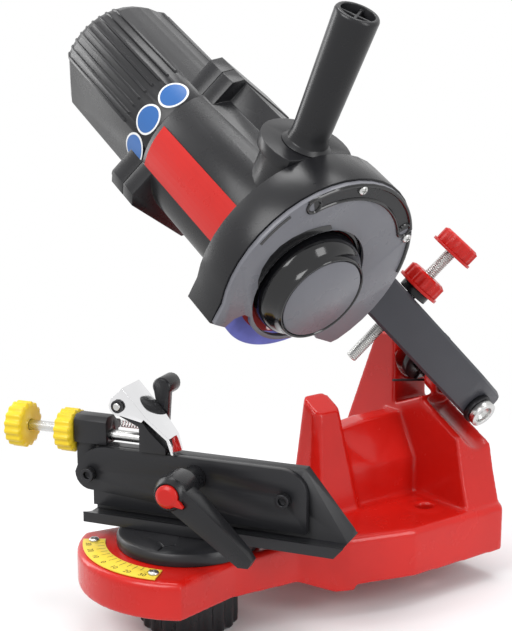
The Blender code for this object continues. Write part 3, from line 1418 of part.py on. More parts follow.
def build_arm(frame):
    front = -ARM_FRONT
    back = front - ARM_DEPTH
    fold = ARM_FOLD
    back_fold = fold - ARM_DEPTH * math.tan(ARM_BEND / 2)
    drop = bend_drop(ARM_REACH)
    side = [
        (-ARM_TAIL, front),
        (fold, front),
        (ARM_REACH, front - drop),
        (ARM_REACH, back - drop - ARM_DEPTH * (1 / math.cos(ARM_BEND) - 1)),
        (back_fold, back),
        (-ARM_TAIL, back),
    ]
    half = ARM_WIDTH / 2
    edge = ARM_EDGE
    centre = -ARM_AXIS_OFFSET
    rings = []
    for y, shrink in ((centre - half, edge), (centre - half + edge, 0), (centre + half - edge, 0), (centre + half, edge)):
        middle = (front + back) / 2
        ring = []
        for x, z in side:
            sink = bend_drop(x) if x > back_fold + edge else 0
            inward = shrink if z + sink < middle else -shrink
            end = shrink if x < 0 else 0
            ring.append((x + end, y, z + inward))
        rings.append(ring)
    arm = solid("arm", lofted(rings))
    corner = ARM_CORNER
    for low in (-1, 1):
        nose = []
        for angle in range(4):
            turn = math.pi / 2 * angle / 3
            nose.append((
                -ARM_TAIL + corner - corner * math.sin(turn),
                centre + low * (half - corner + corner * math.cos(turn)),
            ))
        nose += [(-ARM_TAIL - corner, centre + low * (half - corner)), (-ARM_TAIL - corner, centre + low * (half + corner))]
        nose += [(-ARM_TAIL + corner, centre + low * (half + corner))]
        cut(arm, prism(nose if low > 0 else list(reversed(nose)), back - OVERRUN, front + OVERRUN))
    arm.data.transform(Matrix.Rotation(-ARM_LEAN, 4, "Z"))
    fuse(arm, mounting_plate())
    fuse(arm, rod(hub_radius(), -HUB_END + RUNNING, back + edge, ROUND))
    cut(arm, guard_room())
    cut(arm, rod(PIN_R + GAP + BUSH_WALL + GAP, -HUB_END - OVERRUN, front + OVERRUN, SMALL))
    stud = bpy.data.objects["depth_axis"].matrix_local
    cut(arm, moved(rod(STUD_R + GAP, -GUARD_R, GUARD_R, SMALL), stud))
    place = head_place() @ polar(ARM_SCREW_RADIUS, ARM_SCREW_ANGLE)
    cut(arm, moved(rod(ARM_SCREW_R + GAP, -GUARD_R, 0, TINY), place))
    under_plate = plate_top() - ARM_PLATE_THICK - GAP / 2
    cut(arm, moved(rod(ARM_SCREW_HEAD_R + GAP, -GUARD_R, under_plate, TINY), place))
    settle(arm, frame, DARK_ARM)


def head_place():
    """The spindle frame, seen from the pivot frame."""
    return shift(SWING_RADIUS, 0, -SPINDLE_SETBACK)


def plate_top():
    return GUARD_BACK_Z - SEAT


def mounting_plate():
    """The crescent that lies against the back of the guard, outside the motor's barrel."""
    top = plate_top()
    low = top - ARM_PLATE_THICK
    inner = arc((0, 0), ARM_PLATE_INNER_R, ARM_PLATE_LOW, ARM_PLATE_HIGH, 10)
    outer = arc((0, 0), ARM_PLATE_OUTER_R, ARM_PLATE_HIGH, ARM_PLATE_LOW, 10)
    outline = [(x, -y + BARREL_Y) for x, y in inner + outer]
    return moved(prism(outline, low, top), head_place())


def guard_room():
    """The room of the guard and of the barrel, which the arm stays out of."""
    top = plate_top()
    room = solid("guard_room", moved(rod(GUARD_R + SEAT, top, GUARD_R, WIDE), shift(GUARD_X, GUARD_Y)))
    barrel = rod(BARREL_R + 2 * SEAT, -GUARD_R, top + OVERRUN, WIDE)
    fuse(room, moved(barrel, shift(0, BARREL_Y)))
    room.data.transform(head_place())
    return room


def build_arm_screw(frame):
    low = plate_top() - ARM_PLATE_THICK
    screw = turned([
        (0, low - GAP - ARM_SCREW_HEAD),
        (ARM_SCREW_HEAD_R, low - GAP - ARM_SCREW_HEAD),
        (ARM_SCREW_HEAD_R, low - GAP),
        (ARM_SCREW_R, low - GAP),
        (ARM_SCREW_R, GUARD_BACK_Z + GUARD_WALL),
        (0, GUARD_BACK_Z + GUARD_WALL),
    ], TINY)
    place = polar(ARM_SCREW_RADIUS, ARM_SCREW_ANGLE)
    settle(solid("arm_screw", moved(screw, place)), frame, BLACK_STEEL)


# Depth stud: its frame's z rises square to the arm

def arm_top():
    """The arm's upper face above the stud frame's origin."""
    middle = ARM_AXIS_OFFSET / math.cos(ARM_LEAN) + STUD_ALONG * math.tan(ARM_LEAN)
    return middle + ARM_WIDTH / 2 / math.cos(ARM_LEAN)


def build_depth_stop(frame):
    flange_low = arm_top() + DEPTH_COLLAR_LENGTH + 2 * SEAT
    lift = DEPTH_COLLAR_R * math.tan(ARM_LEAN)
    collar = tube(STUD_R + GAP, DEPTH_COLLAR_R, arm_top() + lift + GAP, flange_low + lift - GAP, SMALL)
    settle(solid("depth_collar", collar), frame, BLACK_PLASTIC)
    lower = flange_low + lift
    lock = depth_knob("depth_lock_knob", lower, STUD_R + GAP)
    settle(lock, frame, RED_PLASTIC)
    top = UPPER_KNOB_RISE
    stud = rod(STUD_R, -STUD_TIP, top - KNOB_HEIGHT / 3, SMALL, STUD_CHAMFER)
    settle(solid("depth_stud", stud), frame, BRIGHT_STEEL)
    knob = depth_knob("depth_knob", top - KNOB_HEIGHT, 0)
    cut(knob, rod(STUD_R + GAP, 0, top - KNOB_HEIGHT / 3 + GAP, SMALL))
    settle(knob, frame, RED_PLASTIC)


def depth_knob(name, low, bore):
    """A red knob: a plain flange below a ribbed grip."""
    knob = knurled(name, KNOB_R, KNOB_ROOT_R, KNOB_RIBS, low + KNOB_FLANGE / 2, low + KNOB_HEIGHT, 0)
    fuse(knob, rod(KNOB_FLANGE_R, low, low + KNOB_FLANGE, ROUND))
    if bore:
        cut(knob, rod(bore, low - OVERRUN, low + KNOB_HEIGHT + OVERRUN, SMALL))
    return knob


# Guard, in the spindle frame: x forwards, y down, z out of the front

def flip(points):
    """Turn points with a rising second value into the head's downward y."""
    return [(x, -y) for x, y in points]


def guard_outline(radius, lower):
    """The guard's round top and sides, closed below by its own lower edge."""
    rim = arc((GUARD_X, -GUARD_Y), radius, GUARD_START, GUARD_END, 29)
    return flip(rim) + lower


def housing_lower():
    """The guard housing's lower edge, from the pivot side round to the front."""
    r = GUARD_R
    return [
        (LOBE_X_SHARE * r, LOBE_Y_SHARE * r),
        (LOBE_INNER_X_SHARE * r, LOBE_INNER_Y_SHARE * r + GUARD_WALL),
        (ARCH_TOP_X_SHARE * r, ARCH_TOP_Y_SHARE * r + GUARD_WALL),
        (ARCH_LEFT_X_SHARE * r, TOE_Y_SHARE * r),
        (TOE_X_SHARE * r, TOE_Y_SHARE * r + GUARD_WALL / 2),
    ]


def cover_lower():
    """The cover's lower edge: lobe, ring round the clamp nut, arch over the wheel and toe."""
    r = GUARD_R
    ring = arc((0, 0), COVER_RING_R, COVER_RING_START, COVER_RING_END, 10)
    arch_top = ARCH_TOP_Y_SHARE * r
    lobe = [(LOBE_X_SHARE * r, LOBE_Y_SHARE * r), (LOBE_INNER_X_SHARE * r, LOBE_INNER_Y_SHARE * r)]
    arch = [
        (ARCH_TOP_X_SHARE * r - GUARD_WALL, arch_top + GUARD_WALL / 4),
        (ARCH_TOP_X_SHARE * r + GUARD_WALL, arch_top + GUARD_WALL / 3),
        (ARCH_LEFT_X_SHARE * r - GUARD_WALL / 3, arch_top + 2 * GUARD_WALL),
        (ARCH_LEFT_X_SHARE * r, TOE_Y_SHARE * r - GUARD_WALL / 2),
    ]
    return lobe + flip(ring) + arch + [(TOE_X_SHARE * r, TOE_Y_SHARE * r)]


def screw_lugs():
    return [shift(GUARD_X, GUARD_Y) @ polar(GUARD_R - LUG_R, angle) for angle in LUG_ANGLES]


def build_guard(frame):
    outer = prism(guard_outline(GUARD_R, housing_lower()), GUARD_BACK_Z, GUARD_RIM_Z)
    housing = solid("guard_housing", outer)
    hollow = solid("hollow", moved(
        rod(GUARD_R - GUARD_WALL, GUARD_BACK_Z + GUARD_WALL, GUARD_RIM_Z + OVERRUN, WIDE),
        shift(GUARD_X, GUARD_Y)))
    for place in screw_lugs():
        cut(hollow, moved(rod(LUG_R, GUARD_BACK_Z, GUARD_RIM_Z + 2 * OVERRUN, TINY), place))
    cut(housing, hollow)
    cut(housing, rod(GUARD_HUB_R, GUARD_BACK_Z - OVERRUN, GUARD_RIM_Z, ROUND))
    for place in screw_lugs():
        hole = rod(COVER_SCREW_SHANK_R + GAP, GUARD_RIM_Z - COVER_SCREW_LENGTH, GUARD_RIM_Z + OVERRUN, TINY)
        cut(housing, moved(hole, place))
    hole = rod(ARM_SCREW_R + GAP, GUARD_BACK_Z - OVERRUN, GUARD_BACK_Z + GUARD_WALL + OVERRUN, TINY)
    cut(housing, moved(hole, polar(ARM_SCREW_RADIUS, ARM_SCREW_ANGLE)))
    settle(housing, frame, BLACK_PLASTIC)
    low = GUARD_RIM_Z + GAP
    cover = solid("guard_cover", prism(guard_outline(COVER_R, cover_lower()), low, low + COVER_THICK))
    cut(cover, rod(COVER_HOLE_R, low - OVERRUN, low + OVERRUN, WIDE))
    for place in screw_lugs():
        cut(cover, moved(rod(COVER_SCREW_SHANK_R + GAP, low - OVERRUN, low + OVERRUN, TINY), place))
    settle(cover, frame, GREY_COVER)
    seat = low + COVER_THICK + GAP
    for name, place in zip(("cover_screw_front", "cover_screw_top"), screw_lugs()):
        screw = turned([
            (0, GUARD_RIM_Z - COVER_SCREW_LENGTH + 2 * GAP),
            (COVER_SCREW_SHANK_R, GUARD_RIM_Z - COVER_SCREW_LENGTH + 2 * GAP),
            (COVER_SCREW_SHANK_R, seat),
            (COVER_SCREW_R, seat),
            (COVER_SCREW_R, seat + COVER_SCREW_HEAD / 2),
            (COVER_SCREW_R / 2, seat + COVER_SCREW_HEAD),
            (0, seat + COVER_SCREW_HEAD),
        ], TINY)
        settle(solid(name, moved(screw, place)), frame, BRIGHT_STEEL)


# Spindle pieces, all turned on the spindle axis

def build_spindle(frame):
    half = WHEEL_THICK / 2
    wheel = tube(WHEEL_BORE_R, WHEEL_R, -half, half, WIDE)
    settle(solid("grinding_wheel", wheel), frame, BLUE_GRIT)
    flange = turned([
        (SHAFT_R + GAP, -half - SEAT - FLANGE_LENGTH),
        (FLANGE_R / 2, -half - SEAT - FLANGE_LENGTH),
        (FLANGE_R, -half - SEAT - FLANGE_LENGTH / 2),
        (FLANGE_R, -half - SEAT),
        (WHEEL_BORE_R - GAP, -half - SEAT),
        (WHEEL_BORE_R - GAP, half - GAP),
        (SHAFT_R + GAP, half - GAP),
    ], ROUND)
    settle(solid("inner_flange", flange), frame, BRIGHT_STEEL)
    floor = CAP_FRONT_Z - DISC_RECESS
    cap = turned([
        (SHAFT_R + GAP, half + SEAT),
        (CAP_HUB_R, half + SEAT),
        (CAP_HUB_R, floor - CAP_WALL),
        (CAP_NECK_R - CAP_WALL, floor - CAP_WALL),
        (CAP_SHOULDER_R - CAP_WALL, CAP_SHOULDER_Z),
        (CAP_BASE_R - CAP_WALL, CAP_BASE_Z),
        (CAP_BASE_R, CAP_BASE_Z),
        (CAP_BASE_R, (CAP_BASE_Z + CAP_SHOULDER_Z) / 2),
        (CAP_SHOULDER_R, CAP_SHOULDER_Z),
        (CAP_NECK_R, CAP_NECK_Z),
        (CAP_RIM_R - GAP, CAP_NECK_Z + GAP),
        (CAP_RIM_R, CAP_FRONT_Z),
        (DISC_R + GAP, CAP_FRONT_Z),
        (DISC_R + GAP, floor),
        (SHAFT_R + GAP, floor),
    ], ROUND)
    settle(solid("clamp_nut", cap), frame, GLOSS_BLACK)
    disc = turned([
        (0, floor + GAP),
        (DISC_R, floor + GAP),
        (DISC_R, floor + GAP + DISC_THICK / 2),
        (DISC_R - DISC_THICK, floor + GAP + DISC_THICK),
        (0, floor + GAP + DISC_THICK),
    ], ROUND)
    settle(solid("nut_disc", disc), frame, GREY_COVER)
    shaft = turned([
        (0, SHAFT_BACK_Z),
        (SHAFT_R - GAP, SHAFT_BACK_Z),
        (SHAFT_R, SHAFT_BACK_Z + GAP),
        (SHAFT_R, SHAFT_FRONT),
        (0, SHAFT_FRONT),
    ], SMALL)
    settle(solid("motor_shaft", shaft), frame, BRIGHT_STEEL)
    rotor = tube(SHAFT_R + GAP, ROTOR_R, STATOR_BACK_Z, STATOR_FRONT_Z, ROUND)
    settle(solid("rotor_core", rotor), frame, BRIGHT_STEEL)
    build_fan(frame)


def build_fan(frame):
    back = FAN_FRONT_Z - FAN_LENGTH
    fan = solid("cooling_fan", tube(SHAFT_R + GAP, FAN_HUB_R, back, FAN_FRONT_Z, SMALL))
    for blade in range(FAN_BLADES):
        vane = box((FAN_HUB_R - OVERRUN / 2, -FAN_BLADE_THICK / 2, back), (FAN_R, FAN_BLADE_THICK / 2, FAN_FRONT_Z))
        fuse(fan, moved(vane, Matrix.Rotation(math.tau * blade / FAN_BLADES, 4, "Z")))
    settle(fan, frame, BLACK_PLASTIC)


# Motor casing

def collar_outline(extra=0.0):
    """The flange of the casing: sunk in the barrel at the sides, square ears at the top and bottom."""
    corner = COLLAR_CORNER
    half_x = COLLAR_HALF_X + extra
    half_y = COLLAR_HALF_Y + extra
    radius = COLLAR_R_SIDE + extra
    join = math.acos(half_x / radius)
    quarter = [(half_x, half_y - corner), (half_x - corner, half_y)]
    right = arc((0, 0), radius, -join, join, 8)
    left = [(-x, y) for x, y in reversed(right)]
    top = quarter + [(-x, y) for x, y in reversed(quarter)]
    bottom = [(-x, -y) for x, y in top]
    return [(x, y + BARREL_Y) for x, y in right + top + left + bottom]


def screw_spots():
    """Where the two joining screws run, at opposite corners of the flange."""
    rise = COLLAR_HALF_Y - COLLAR_CORNER
    return [(side * SCREW_X, BARREL_Y + side * rise) for side in (1, -1)]


def bearing_pocket():
    return BEARING_R + GAP + BEARING_POCKET_WALL


def build_housing(frame):
    """The front shell: barrel, nose wall with the bearing seat, top box, flange and boss."""
    housing = solid("motor_housing", moved(rod(BARREL_R, SPLIT_Z, HOUSING_FRONT_Z, WIDE), shift(0, BARREL_Y)))
    fuse(housing, prism(collar_outline(), SPLIT_Z, SPLIT_Z + FLANGE_BACK))
    top = box((-TOP_BOX_HALF_X, TOP_BOX_Y, SPLIT_Z + OVERRUN), (TOP_BOX_HALF_X, BARREL_Y, TOP_BOX_FRONT_Z))
    fuse(housing, top)
    pad = box(
        (-BARREL_R - SWITCH_PAD, SWITCH_Y - SWITCH_HALF_Y - SWITCH_RIM, SWITCH_Z - SWITCH_HALF_Z - SWITCH_RIM),
        (0, SWITCH_Y + SWITCH_HALF_Y + SWITCH_RIM, SWITCH_Z + SWITCH_HALF_Z + SWITCH_RIM),
    )
    fuse(housing, pad)
    boss = turned([
        (0, 0),
        (BOSS_NECK_R, 0),
        (BOSS_NECK_R, BOSS_NECK_TOP),
        (BOSS_R, BOSS_NECK_TOP),
        (BOSS_R, BOSS_TOP),
        (0, BOSS_TOP),
    ], ROUND)
    handle = bpy.data.objects["handle_axis"].matrix_local
    fuse(housing, moved(boss, handle))
    front = box((-GUARD_R, -2 * GUARD_R, HOUSING_FRONT_Z), (2 * GUARD_R, GUARD_R, GUARD_R))
    cut(housing, front)
    inner = BARREL_R - BARREL_WALL
    room = solid("room", moved(rod(inner, SPLIT_Z - OVERRUN, HOUSING_FRONT_Z - NOSE_WALL, WIDE), shift(0, BARREL_Y)))
    box_room = box(
        (-TOP_BOX_HALF_X + BARREL_WALL, TOP_BOX_Y + BARREL_WALL, SPLIT_Z - OVERRUN),
        (TOP_BOX_HALF_X - BARREL_WALL, BARREL_Y, TOP_BOX_FRONT_Z - BARREL_WALL),
    )
    fuse(room, box_room)
    seat_back = HOUSING_FRONT_Z - BEARING_SEAT_LIP - BEARING_LENGTH - 2 * GAP
    cut(room, rod(bearing_pocket(), seat_back, GUARD_R, ROUND))
    cut(housing, room)
    cut(housing, rod(BEARING_R + GAP, seat_back - OVERRUN, HOUSING_FRONT_Z - BEARING_SEAT_LIP, ROUND))
    cut(housing, rod(GUARD_HUB_R, seat_back, HOUSING_FRONT_Z + OVERRUN, ROUND))
    socket = rod(BOSS_SOCKET_R, BOSS_TOP - BOSS_SOCKET_DEPTH, BOSS_TOP + OVERRUN, SMALL)
    cut(housing, moved(socket, handle))
    rocker_hole = box(
        (-BARREL_R - SWITCH_PAD - OVERRUN, SWITCH_Y - SWITCH_HALF_Y, SWITCH_Z - SWITCH_HALF_Z),
        (-inner + BARREL_WALL, SWITCH_Y + SWITCH_HALF_Y, SWITCH_Z + SWITCH_HALF_Z),
    )
    cut(housing, rocker_hole)
    for x, y in screw_spots():
        hole = rod(SCREW_R + GAP, SPLIT_Z - OVERRUN, SPLIT_Z + SCREW_REACH, TINY)
        cut(housing, moved(hole, shift(x, y)))
    settle(housing, frame, BLACK_PLASTIC)


def ribbed_barrel(radius, height):
    """The tail's round outline with its groups of cooling ribs."""
    points = []
    angles = []
    for start in RIB_GROUP_STARTS:
        for rib in range(RIBS_IN_GROUP):
            middle = start + rib * RIB_STEP
            for offset, rise in ((-1.6, 0), (-1, 1), (1, 1), (1.6, 0)):
                angles.append((middle + offset * RIB_HALF_ANGLE, rise))
        panel = start + (RIBS_IN_GROUP - 1) * RIB_STEP
        for step in range(1, 4):
            angles.append((panel + step * RIB_STEP * 1.4, 0))
    for angle, rise in angles:
        reach = radius + rise * height
        points.append((reach * math.cos(angle), reach * math.sin(angle)))
    return [(x, -y + BARREL_Y) for x, y in points]


def build_tail(frame):
    """The rear shell: ribbed barrel with a rounded end, flange and rear bearing seat."""
    front = SPLIT_Z - GAP
    start = front - TAIL_COLLAR
    rib_start = start - RIB_RUN_START
    rounding = TAIL_ROUNDING
    rings = [
        (ribbed_barrel(TAIL_R, 0), front),
        (ribbed_barrel(TAIL_R, 0), rib_start),
        (ribbed_barrel(TAIL_R, RIB_HEIGHT), rib_start - RIB_HEIGHT),
        (ribbed_barrel(TAIL_R, RIB_HEIGHT), TAIL_END_Z + rounding),
        (ribbed_barrel(TAIL_R - rounding * 0.3, RIB_HEIGHT * 0.7), TAIL_END_Z + rounding * 0.3),
        (ribbed_barrel(TAIL_R - rounding, 0), TAIL_END_Z),
    ]
    tail = solid("tail_cover", lofted([[(x, y, z) for x, y in ring] for ring, z in rings]))
    fuse(tail, prism(collar_outline(), start, front))
    inner = TAIL_R - BARREL_WALL
    room = solid("room", moved(rod(inner, TAIL_END_Z + rounding * 0.8, front + OVERRUN, WIDE), shift(0, BARREL_Y)))
    seat_front = SHAFT_BACK_Z + BEARING_LENGTH + 2 * GAP
    cut(room, rod(bearing_pocket(), TAIL_END_Z, seat_front, ROUND))
    cut(tail, room)
    cut(tail, rod(BEARING_R + GAP, SHAFT_BACK_Z - GAP, seat_front + OVERRUN, ROUND))
    for x, y in screw_spots():
        cut(tail, moved(rod(SCREW_R + GAP, start - OVERRUN, front + OVERRUN, TINY), shift(x, y)))
    cut(tail, moved(rod(GLAND_R - GLAND_BORE_R / 2 + GAP, 0, TAIL_R + GLAND_LENGTH, TINY), gland_place()))
    settle(tail, frame, BLACK_PLASTIC)
    for name, (x, y) in zip(("tail_screw_lower", "tail_screw_upper"), screw_spots()):
        screw = turned([
            (0, start - GAP - SCREW_HEAD),
            (SCREW_HEAD_R, start - GAP - SCREW_HEAD),
            (SCREW_HEAD_R, start - GAP),
            (SCREW_R, start - GAP),
            (SCREW_R, SPLIT_Z + SCREW_REACH - GAP),
            (0, SPLIT_Z + SCREW_REACH - GAP),
        ], TINY)
        settle(solid(name, moved(screw, shift(x, y))), frame, BLACK_STEEL)


def build_motor(frame):
    stator = tube(STATOR_BORE_R, STATOR_R, STATOR_BACK_Z, STATOR_FRONT_Z, ROUND)
    settle(solid("stator", stator), frame, COPPER)
    for name, low in (
        ("front_bearing", HOUSING_FRONT_Z - BEARING_SEAT_LIP - GAP - BEARING_LENGTH),
        ("rear_bearing", SHAFT_BACK_Z + GAP),
    ):
        ring = tube(SHAFT_R + GAP, BEARING_R, low, low + BEARING_LENGTH, ROUND)
        settle(solid(name, ring), frame, BRIGHT_STEEL)
    low = CAPACITOR_FRONT_Z - CAPACITOR_LENGTH
    capacitor = moved(rod(CAPACITOR_R, low, CAPACITOR_FRONT_Z, SMALL), shift(0, CAPACITOR_Y))
    settle(solid("run_capacitor", capacitor), frame, BRIGHT_STEEL)


def gland_place():
    """The gland's own axis, square to the tail's wall on its hidden side."""
    turn = Matrix.Rotation(-GLAND_ANGLE, 4, "Z") @ Matrix.Rotation(math.pi / 2, 4, "Y")
    return shift(0, BARREL_Y, GLAND_Z) @ turn


def build_gland(frame):
    seat = TAIL_R + RIB_HEIGHT + SEAT
    gland = turned([
        (GLAND_BORE_R, TAIL_R - BARREL_WALL - GAP),
        (GLAND_R - GLAND_BORE_R / 2, TAIL_R - BARREL_WALL - GAP),
        (GLAND_R - GLAND_BORE_R / 2, seat),
        (GLAND_NUT_R, seat),
        (GLAND_NUT_R, seat + GLAND_NUT_LENGTH),
        (GLAND_R, seat + GLAND_NUT_LENGTH),
        (GLAND_R - GLAND_BORE_R / 2, seat + GLAND_LENGTH),
        (GLAND_BORE_R, seat + GLAND_LENGTH),
    ], TINY)
    settle(solid("cable_gland", moved(gland, gland_place())), frame, BLACK_PLASTIC)


def build_switch(frame):
    """A rocker switch in the pad on the casing's far side; its frame's z points outwards."""
    half_y = SWITCH_HALF_Y
    half_z = SWITCH_HALF_Z
    rim = SWITCH_RIM
    outer = box((-half_z - rim, -half_y - rim, SEAT), (half_z + rim, half_y + rim, SWITCH_BEZEL))
    bezel = solid("switch_frame", outer)
    body = box(
        (-half_z + GAP, -half_y + GAP, -SWITCH_PAD - BARREL_WALL),
        (half_z - GAP, half_y - GAP, SWITCH_BEZEL / 2),
    )
    fuse(bezel, body)
    well = box(
        (-half_z + rim, -half_y + rim, -SWITCH_PAD - BARREL_WALL / 3),
        (half_z - rim, half_y - rim, SWITCH_BEZEL + OVERRUN),
    )
    cut(bezel, well)
    settle(bezel, frame, BLACK_PLASTIC)
    edge = half_z - rim - RUNNING
    low = -SWITCH_PAD / 2
    tilt = math.tan(ROCKER_THROW) * edge
    face = [
        (-edge, low + tilt / 2),
        (0, low - tilt / 4),
        (edge, low + tilt / 2),
        (edge, SWITCH_BEZEL - tilt / 2),
        (0, SWITCH_BEZEL + GAP),
        (-edge, SWITCH_BEZEL + ROCKER_RISE / 2),
    ]
    width = half_y - rim - RUNNING
    rocker = lofted([[(x, y, z) for x, z in face] for y in (-width, width)])
    settle(solid("switch_rocker", rocker), frame, RED_PLASTIC)


# Handle: its frame's z runs up the handle

def build_handle(frame):
    low = BOSS_TOP - BOSS_SOCKET_DEPTH + GAP
    seat = BOSS_TOP + SEAT
    flare = HANDLE_FLARE_R - HANDLE_FOOT_R
    top = HANDLE_TOP
    lip = HANDLE_END_R - HANDLE_BORE_R
    handle = solid("handle", turned([
        (0, low),
        (HANDLE_SPIGOT_R, low),
        (HANDLE_SPIGOT_R, seat),
        (HANDLE_FLARE_R, seat),
        (HANDLE_FOOT_R + flare / 4, seat + flare / 2),
        (HANDLE_FOOT_R, seat + 2 * flare),
        (HANDLE_END_R, top - lip / 2),
        (HANDLE_END_R - lip / 3, top),
        (HANDLE_BORE_R, top),
        (HANDLE_BORE_R, top - HANDLE_BORE_DEPTH),
        (0, top - HANDLE_BORE_DEPTH),
    ], ROUND))
    half = HANDLE_CROSS_HALF
    reach = HANDLE_BORE_R + lip / 3
    cross_top = top - HANDLE_CROSS_DROP
    quarter = [(reach, -half), (reach, half), (half, half)]
    outline = []
    for turn in range(4):
        cosine = round(math.cos(turn * math.pi / 2))
        sine = round(math.sin(turn * math.pi / 2))
        outline += [(x * cosine - y * sine, x * sine + y * cosine) for x, y in quarter]
    cross = prism(outline, top - HANDLE_BORE_DEPTH - half, cross_top)
    fuse(handle, moved(cross, Matrix.Rotation(math.pi / 5, 4, "Z")))
    settle(handle, frame, BLACK_PLASTIC)


# Labels

def curved_patch(radius, thick, low, high, start, end, steps):
    """A thin patch that follows the barrel between two angles."""
    inner = arc((0, 0), radius, start, end, steps)
    outer = arc((0, 0), radius + thick, end, start, steps)
    outline = [(x, -y + BARREL_Y) for x, y in inner + outer]
    return prism(outline, low, high)


def build_labels(frame):
    strip = curved_patch(
        BARREL_R + GAP, LABEL_THICK, LABEL_BACK_Z, LABEL_FRONT_Z, LABEL_LOW, LABEL_HIGH, LABEL_STEPS)
    settle(solid("label_strip", strip), frame, RED_PLASTIC)


def main():
    clear_scene()
    frames = build_frames()
    bpy.context.view_layer.update()
    base = frames["base"]
    swivel = frames["swivel"]
    pivot = frames["pivot"]
    spindle = frames["spindle"]
    build_base(base)
    build_scale(base)
    build_turntable(swivel)
    build_clamp(swivel, base)
    build_rail(swivel)
    build_plate(swivel)
    build_lever(frames["lever"])
    build_block(swivel)
    build_adjuster(frames["rod"])
    build_bracket(swivel)
    build_stop_spring(swivel)
    build_finger(swivel)
    build_finger_pin(swivel)
    build_stop_handle(swivel)
    build_pivot(base, pivot)
    build_return_spring(pivot)
    build_arm(pivot)
    build_arm_screw(spindle)
    build_depth_stop(frames["stud"])
    build_guard(spindle)
    build_spindle(spindle)
    build_housing(spindle)
    build_tail(spindle)
    build_motor(spindle)
    build_gland(spindle)
    build_switch(frames["rocker"])
    build_handle(frames["handle"])
    build_labels(spindle)
    bpy.context.view_layer.update()


main()
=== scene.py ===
# %% [markdown]
# # A bench chain grinder, dressed for its portrait
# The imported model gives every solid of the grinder, in metres, with the bench at z = 0.
# This lesson gives those solids rounded edges, real finishes and the small details that a
# plain solid lacks, then sets up the camera and the light of the photograph.

# %% Load the model
import json
import math

import bmesh
import bpy
from mathutils import Matrix, Vector


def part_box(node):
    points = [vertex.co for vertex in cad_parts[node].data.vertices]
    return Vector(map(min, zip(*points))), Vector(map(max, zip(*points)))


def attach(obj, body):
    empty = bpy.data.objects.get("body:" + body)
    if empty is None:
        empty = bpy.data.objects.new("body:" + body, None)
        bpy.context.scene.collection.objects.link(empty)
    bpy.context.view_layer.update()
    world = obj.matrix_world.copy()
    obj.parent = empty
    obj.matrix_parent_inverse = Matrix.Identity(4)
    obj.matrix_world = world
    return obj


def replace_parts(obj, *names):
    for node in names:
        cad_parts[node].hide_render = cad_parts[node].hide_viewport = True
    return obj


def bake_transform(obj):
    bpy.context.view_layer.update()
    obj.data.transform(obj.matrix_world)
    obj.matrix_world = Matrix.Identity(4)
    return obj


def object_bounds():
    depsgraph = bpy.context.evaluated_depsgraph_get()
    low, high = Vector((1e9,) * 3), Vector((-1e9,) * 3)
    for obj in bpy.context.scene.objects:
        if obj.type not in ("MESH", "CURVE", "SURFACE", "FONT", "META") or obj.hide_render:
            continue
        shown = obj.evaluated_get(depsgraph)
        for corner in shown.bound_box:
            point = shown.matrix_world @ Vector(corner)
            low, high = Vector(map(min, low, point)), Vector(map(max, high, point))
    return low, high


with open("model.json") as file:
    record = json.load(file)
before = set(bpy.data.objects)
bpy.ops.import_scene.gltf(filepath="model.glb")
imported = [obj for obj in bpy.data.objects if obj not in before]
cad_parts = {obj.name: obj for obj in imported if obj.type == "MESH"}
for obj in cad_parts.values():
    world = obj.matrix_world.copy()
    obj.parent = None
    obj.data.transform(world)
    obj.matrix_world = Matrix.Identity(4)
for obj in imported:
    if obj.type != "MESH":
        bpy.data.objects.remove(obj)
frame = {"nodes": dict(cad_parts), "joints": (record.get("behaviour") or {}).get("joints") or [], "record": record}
cad_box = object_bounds()
nodes = frame["nodes"]
bodies = frame["record"]["behaviour"]["bodies"]
body_of = {node: body for body, members in bodies.items() for node in members}

# %% [markdown]
# ## Working frames
# Most pieces belong to one of two slanted assemblies: the head, whose spindle leans 30 degrees,
# and the vise, turned 30 degrees on its turntable. The joints already hold those directions, so
# two matrices are worked out from them, and later cells measure in plain head or vise distances.

# %% Frames of the head and of the vise
joints = {joint["name"]: joint for joint in frame["joints"]}


def axes_matrix(x, y, z, origin):
    """A matrix whose columns are three directions and an origin."""
    turn = Matrix((x, y, z)).transposed().to_4x4()
    return Matrix.Translation(origin) @ turn


spindle_at = Vector(joints["spindle_spin"]["pos_m"])
spindle_out = Vector(joints["spindle_spin"]["axis"]).normalized()
pivot_at = Vector(joints["head_swing"]["pos_m"])
ahead = spindle_at - pivot_at
ahead = (ahead - spindle_out * ahead.dot(spindle_out)).normalized()
head = axes_matrix(ahead, spindle_out.cross(ahead), spindle_out, spindle_at)

rail_along = Vector(joints["carriage_slide"]["axis"]).normalized()
up = Vector((0, 0, 1))
PLATE_GAP = 0.0003
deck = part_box("scale_plate")[0].z - PLATE_GAP
vise_at = Vector((0, joints["vise_swivel"]["pos_m"][1], deck))
vise = axes_matrix(rail_along, up.cross(rail_along), up, vise_at)
print("spindle at", [round(c, 4) for c in spindle_at], "deck height", round(deck, 4))

# %% [markdown]
# ## Camera
# The angle scale and the wheel's rim gave the place of the lens when the photograph was
# measured: a little to the right of the grinder and a bit above it, with a long lens.

# %% Camera
PHOTO_HEIGHT = 631
FOCAL_PIXELS = 1300
LENS_PLACE = Vector((0.6330, -0.6015, 0.3349))
LENS_RIGHT = Vector((0.616, 0.788, 0.0))
LENS_BACK = Vector((0.7716, -0.6035, 0.2016))

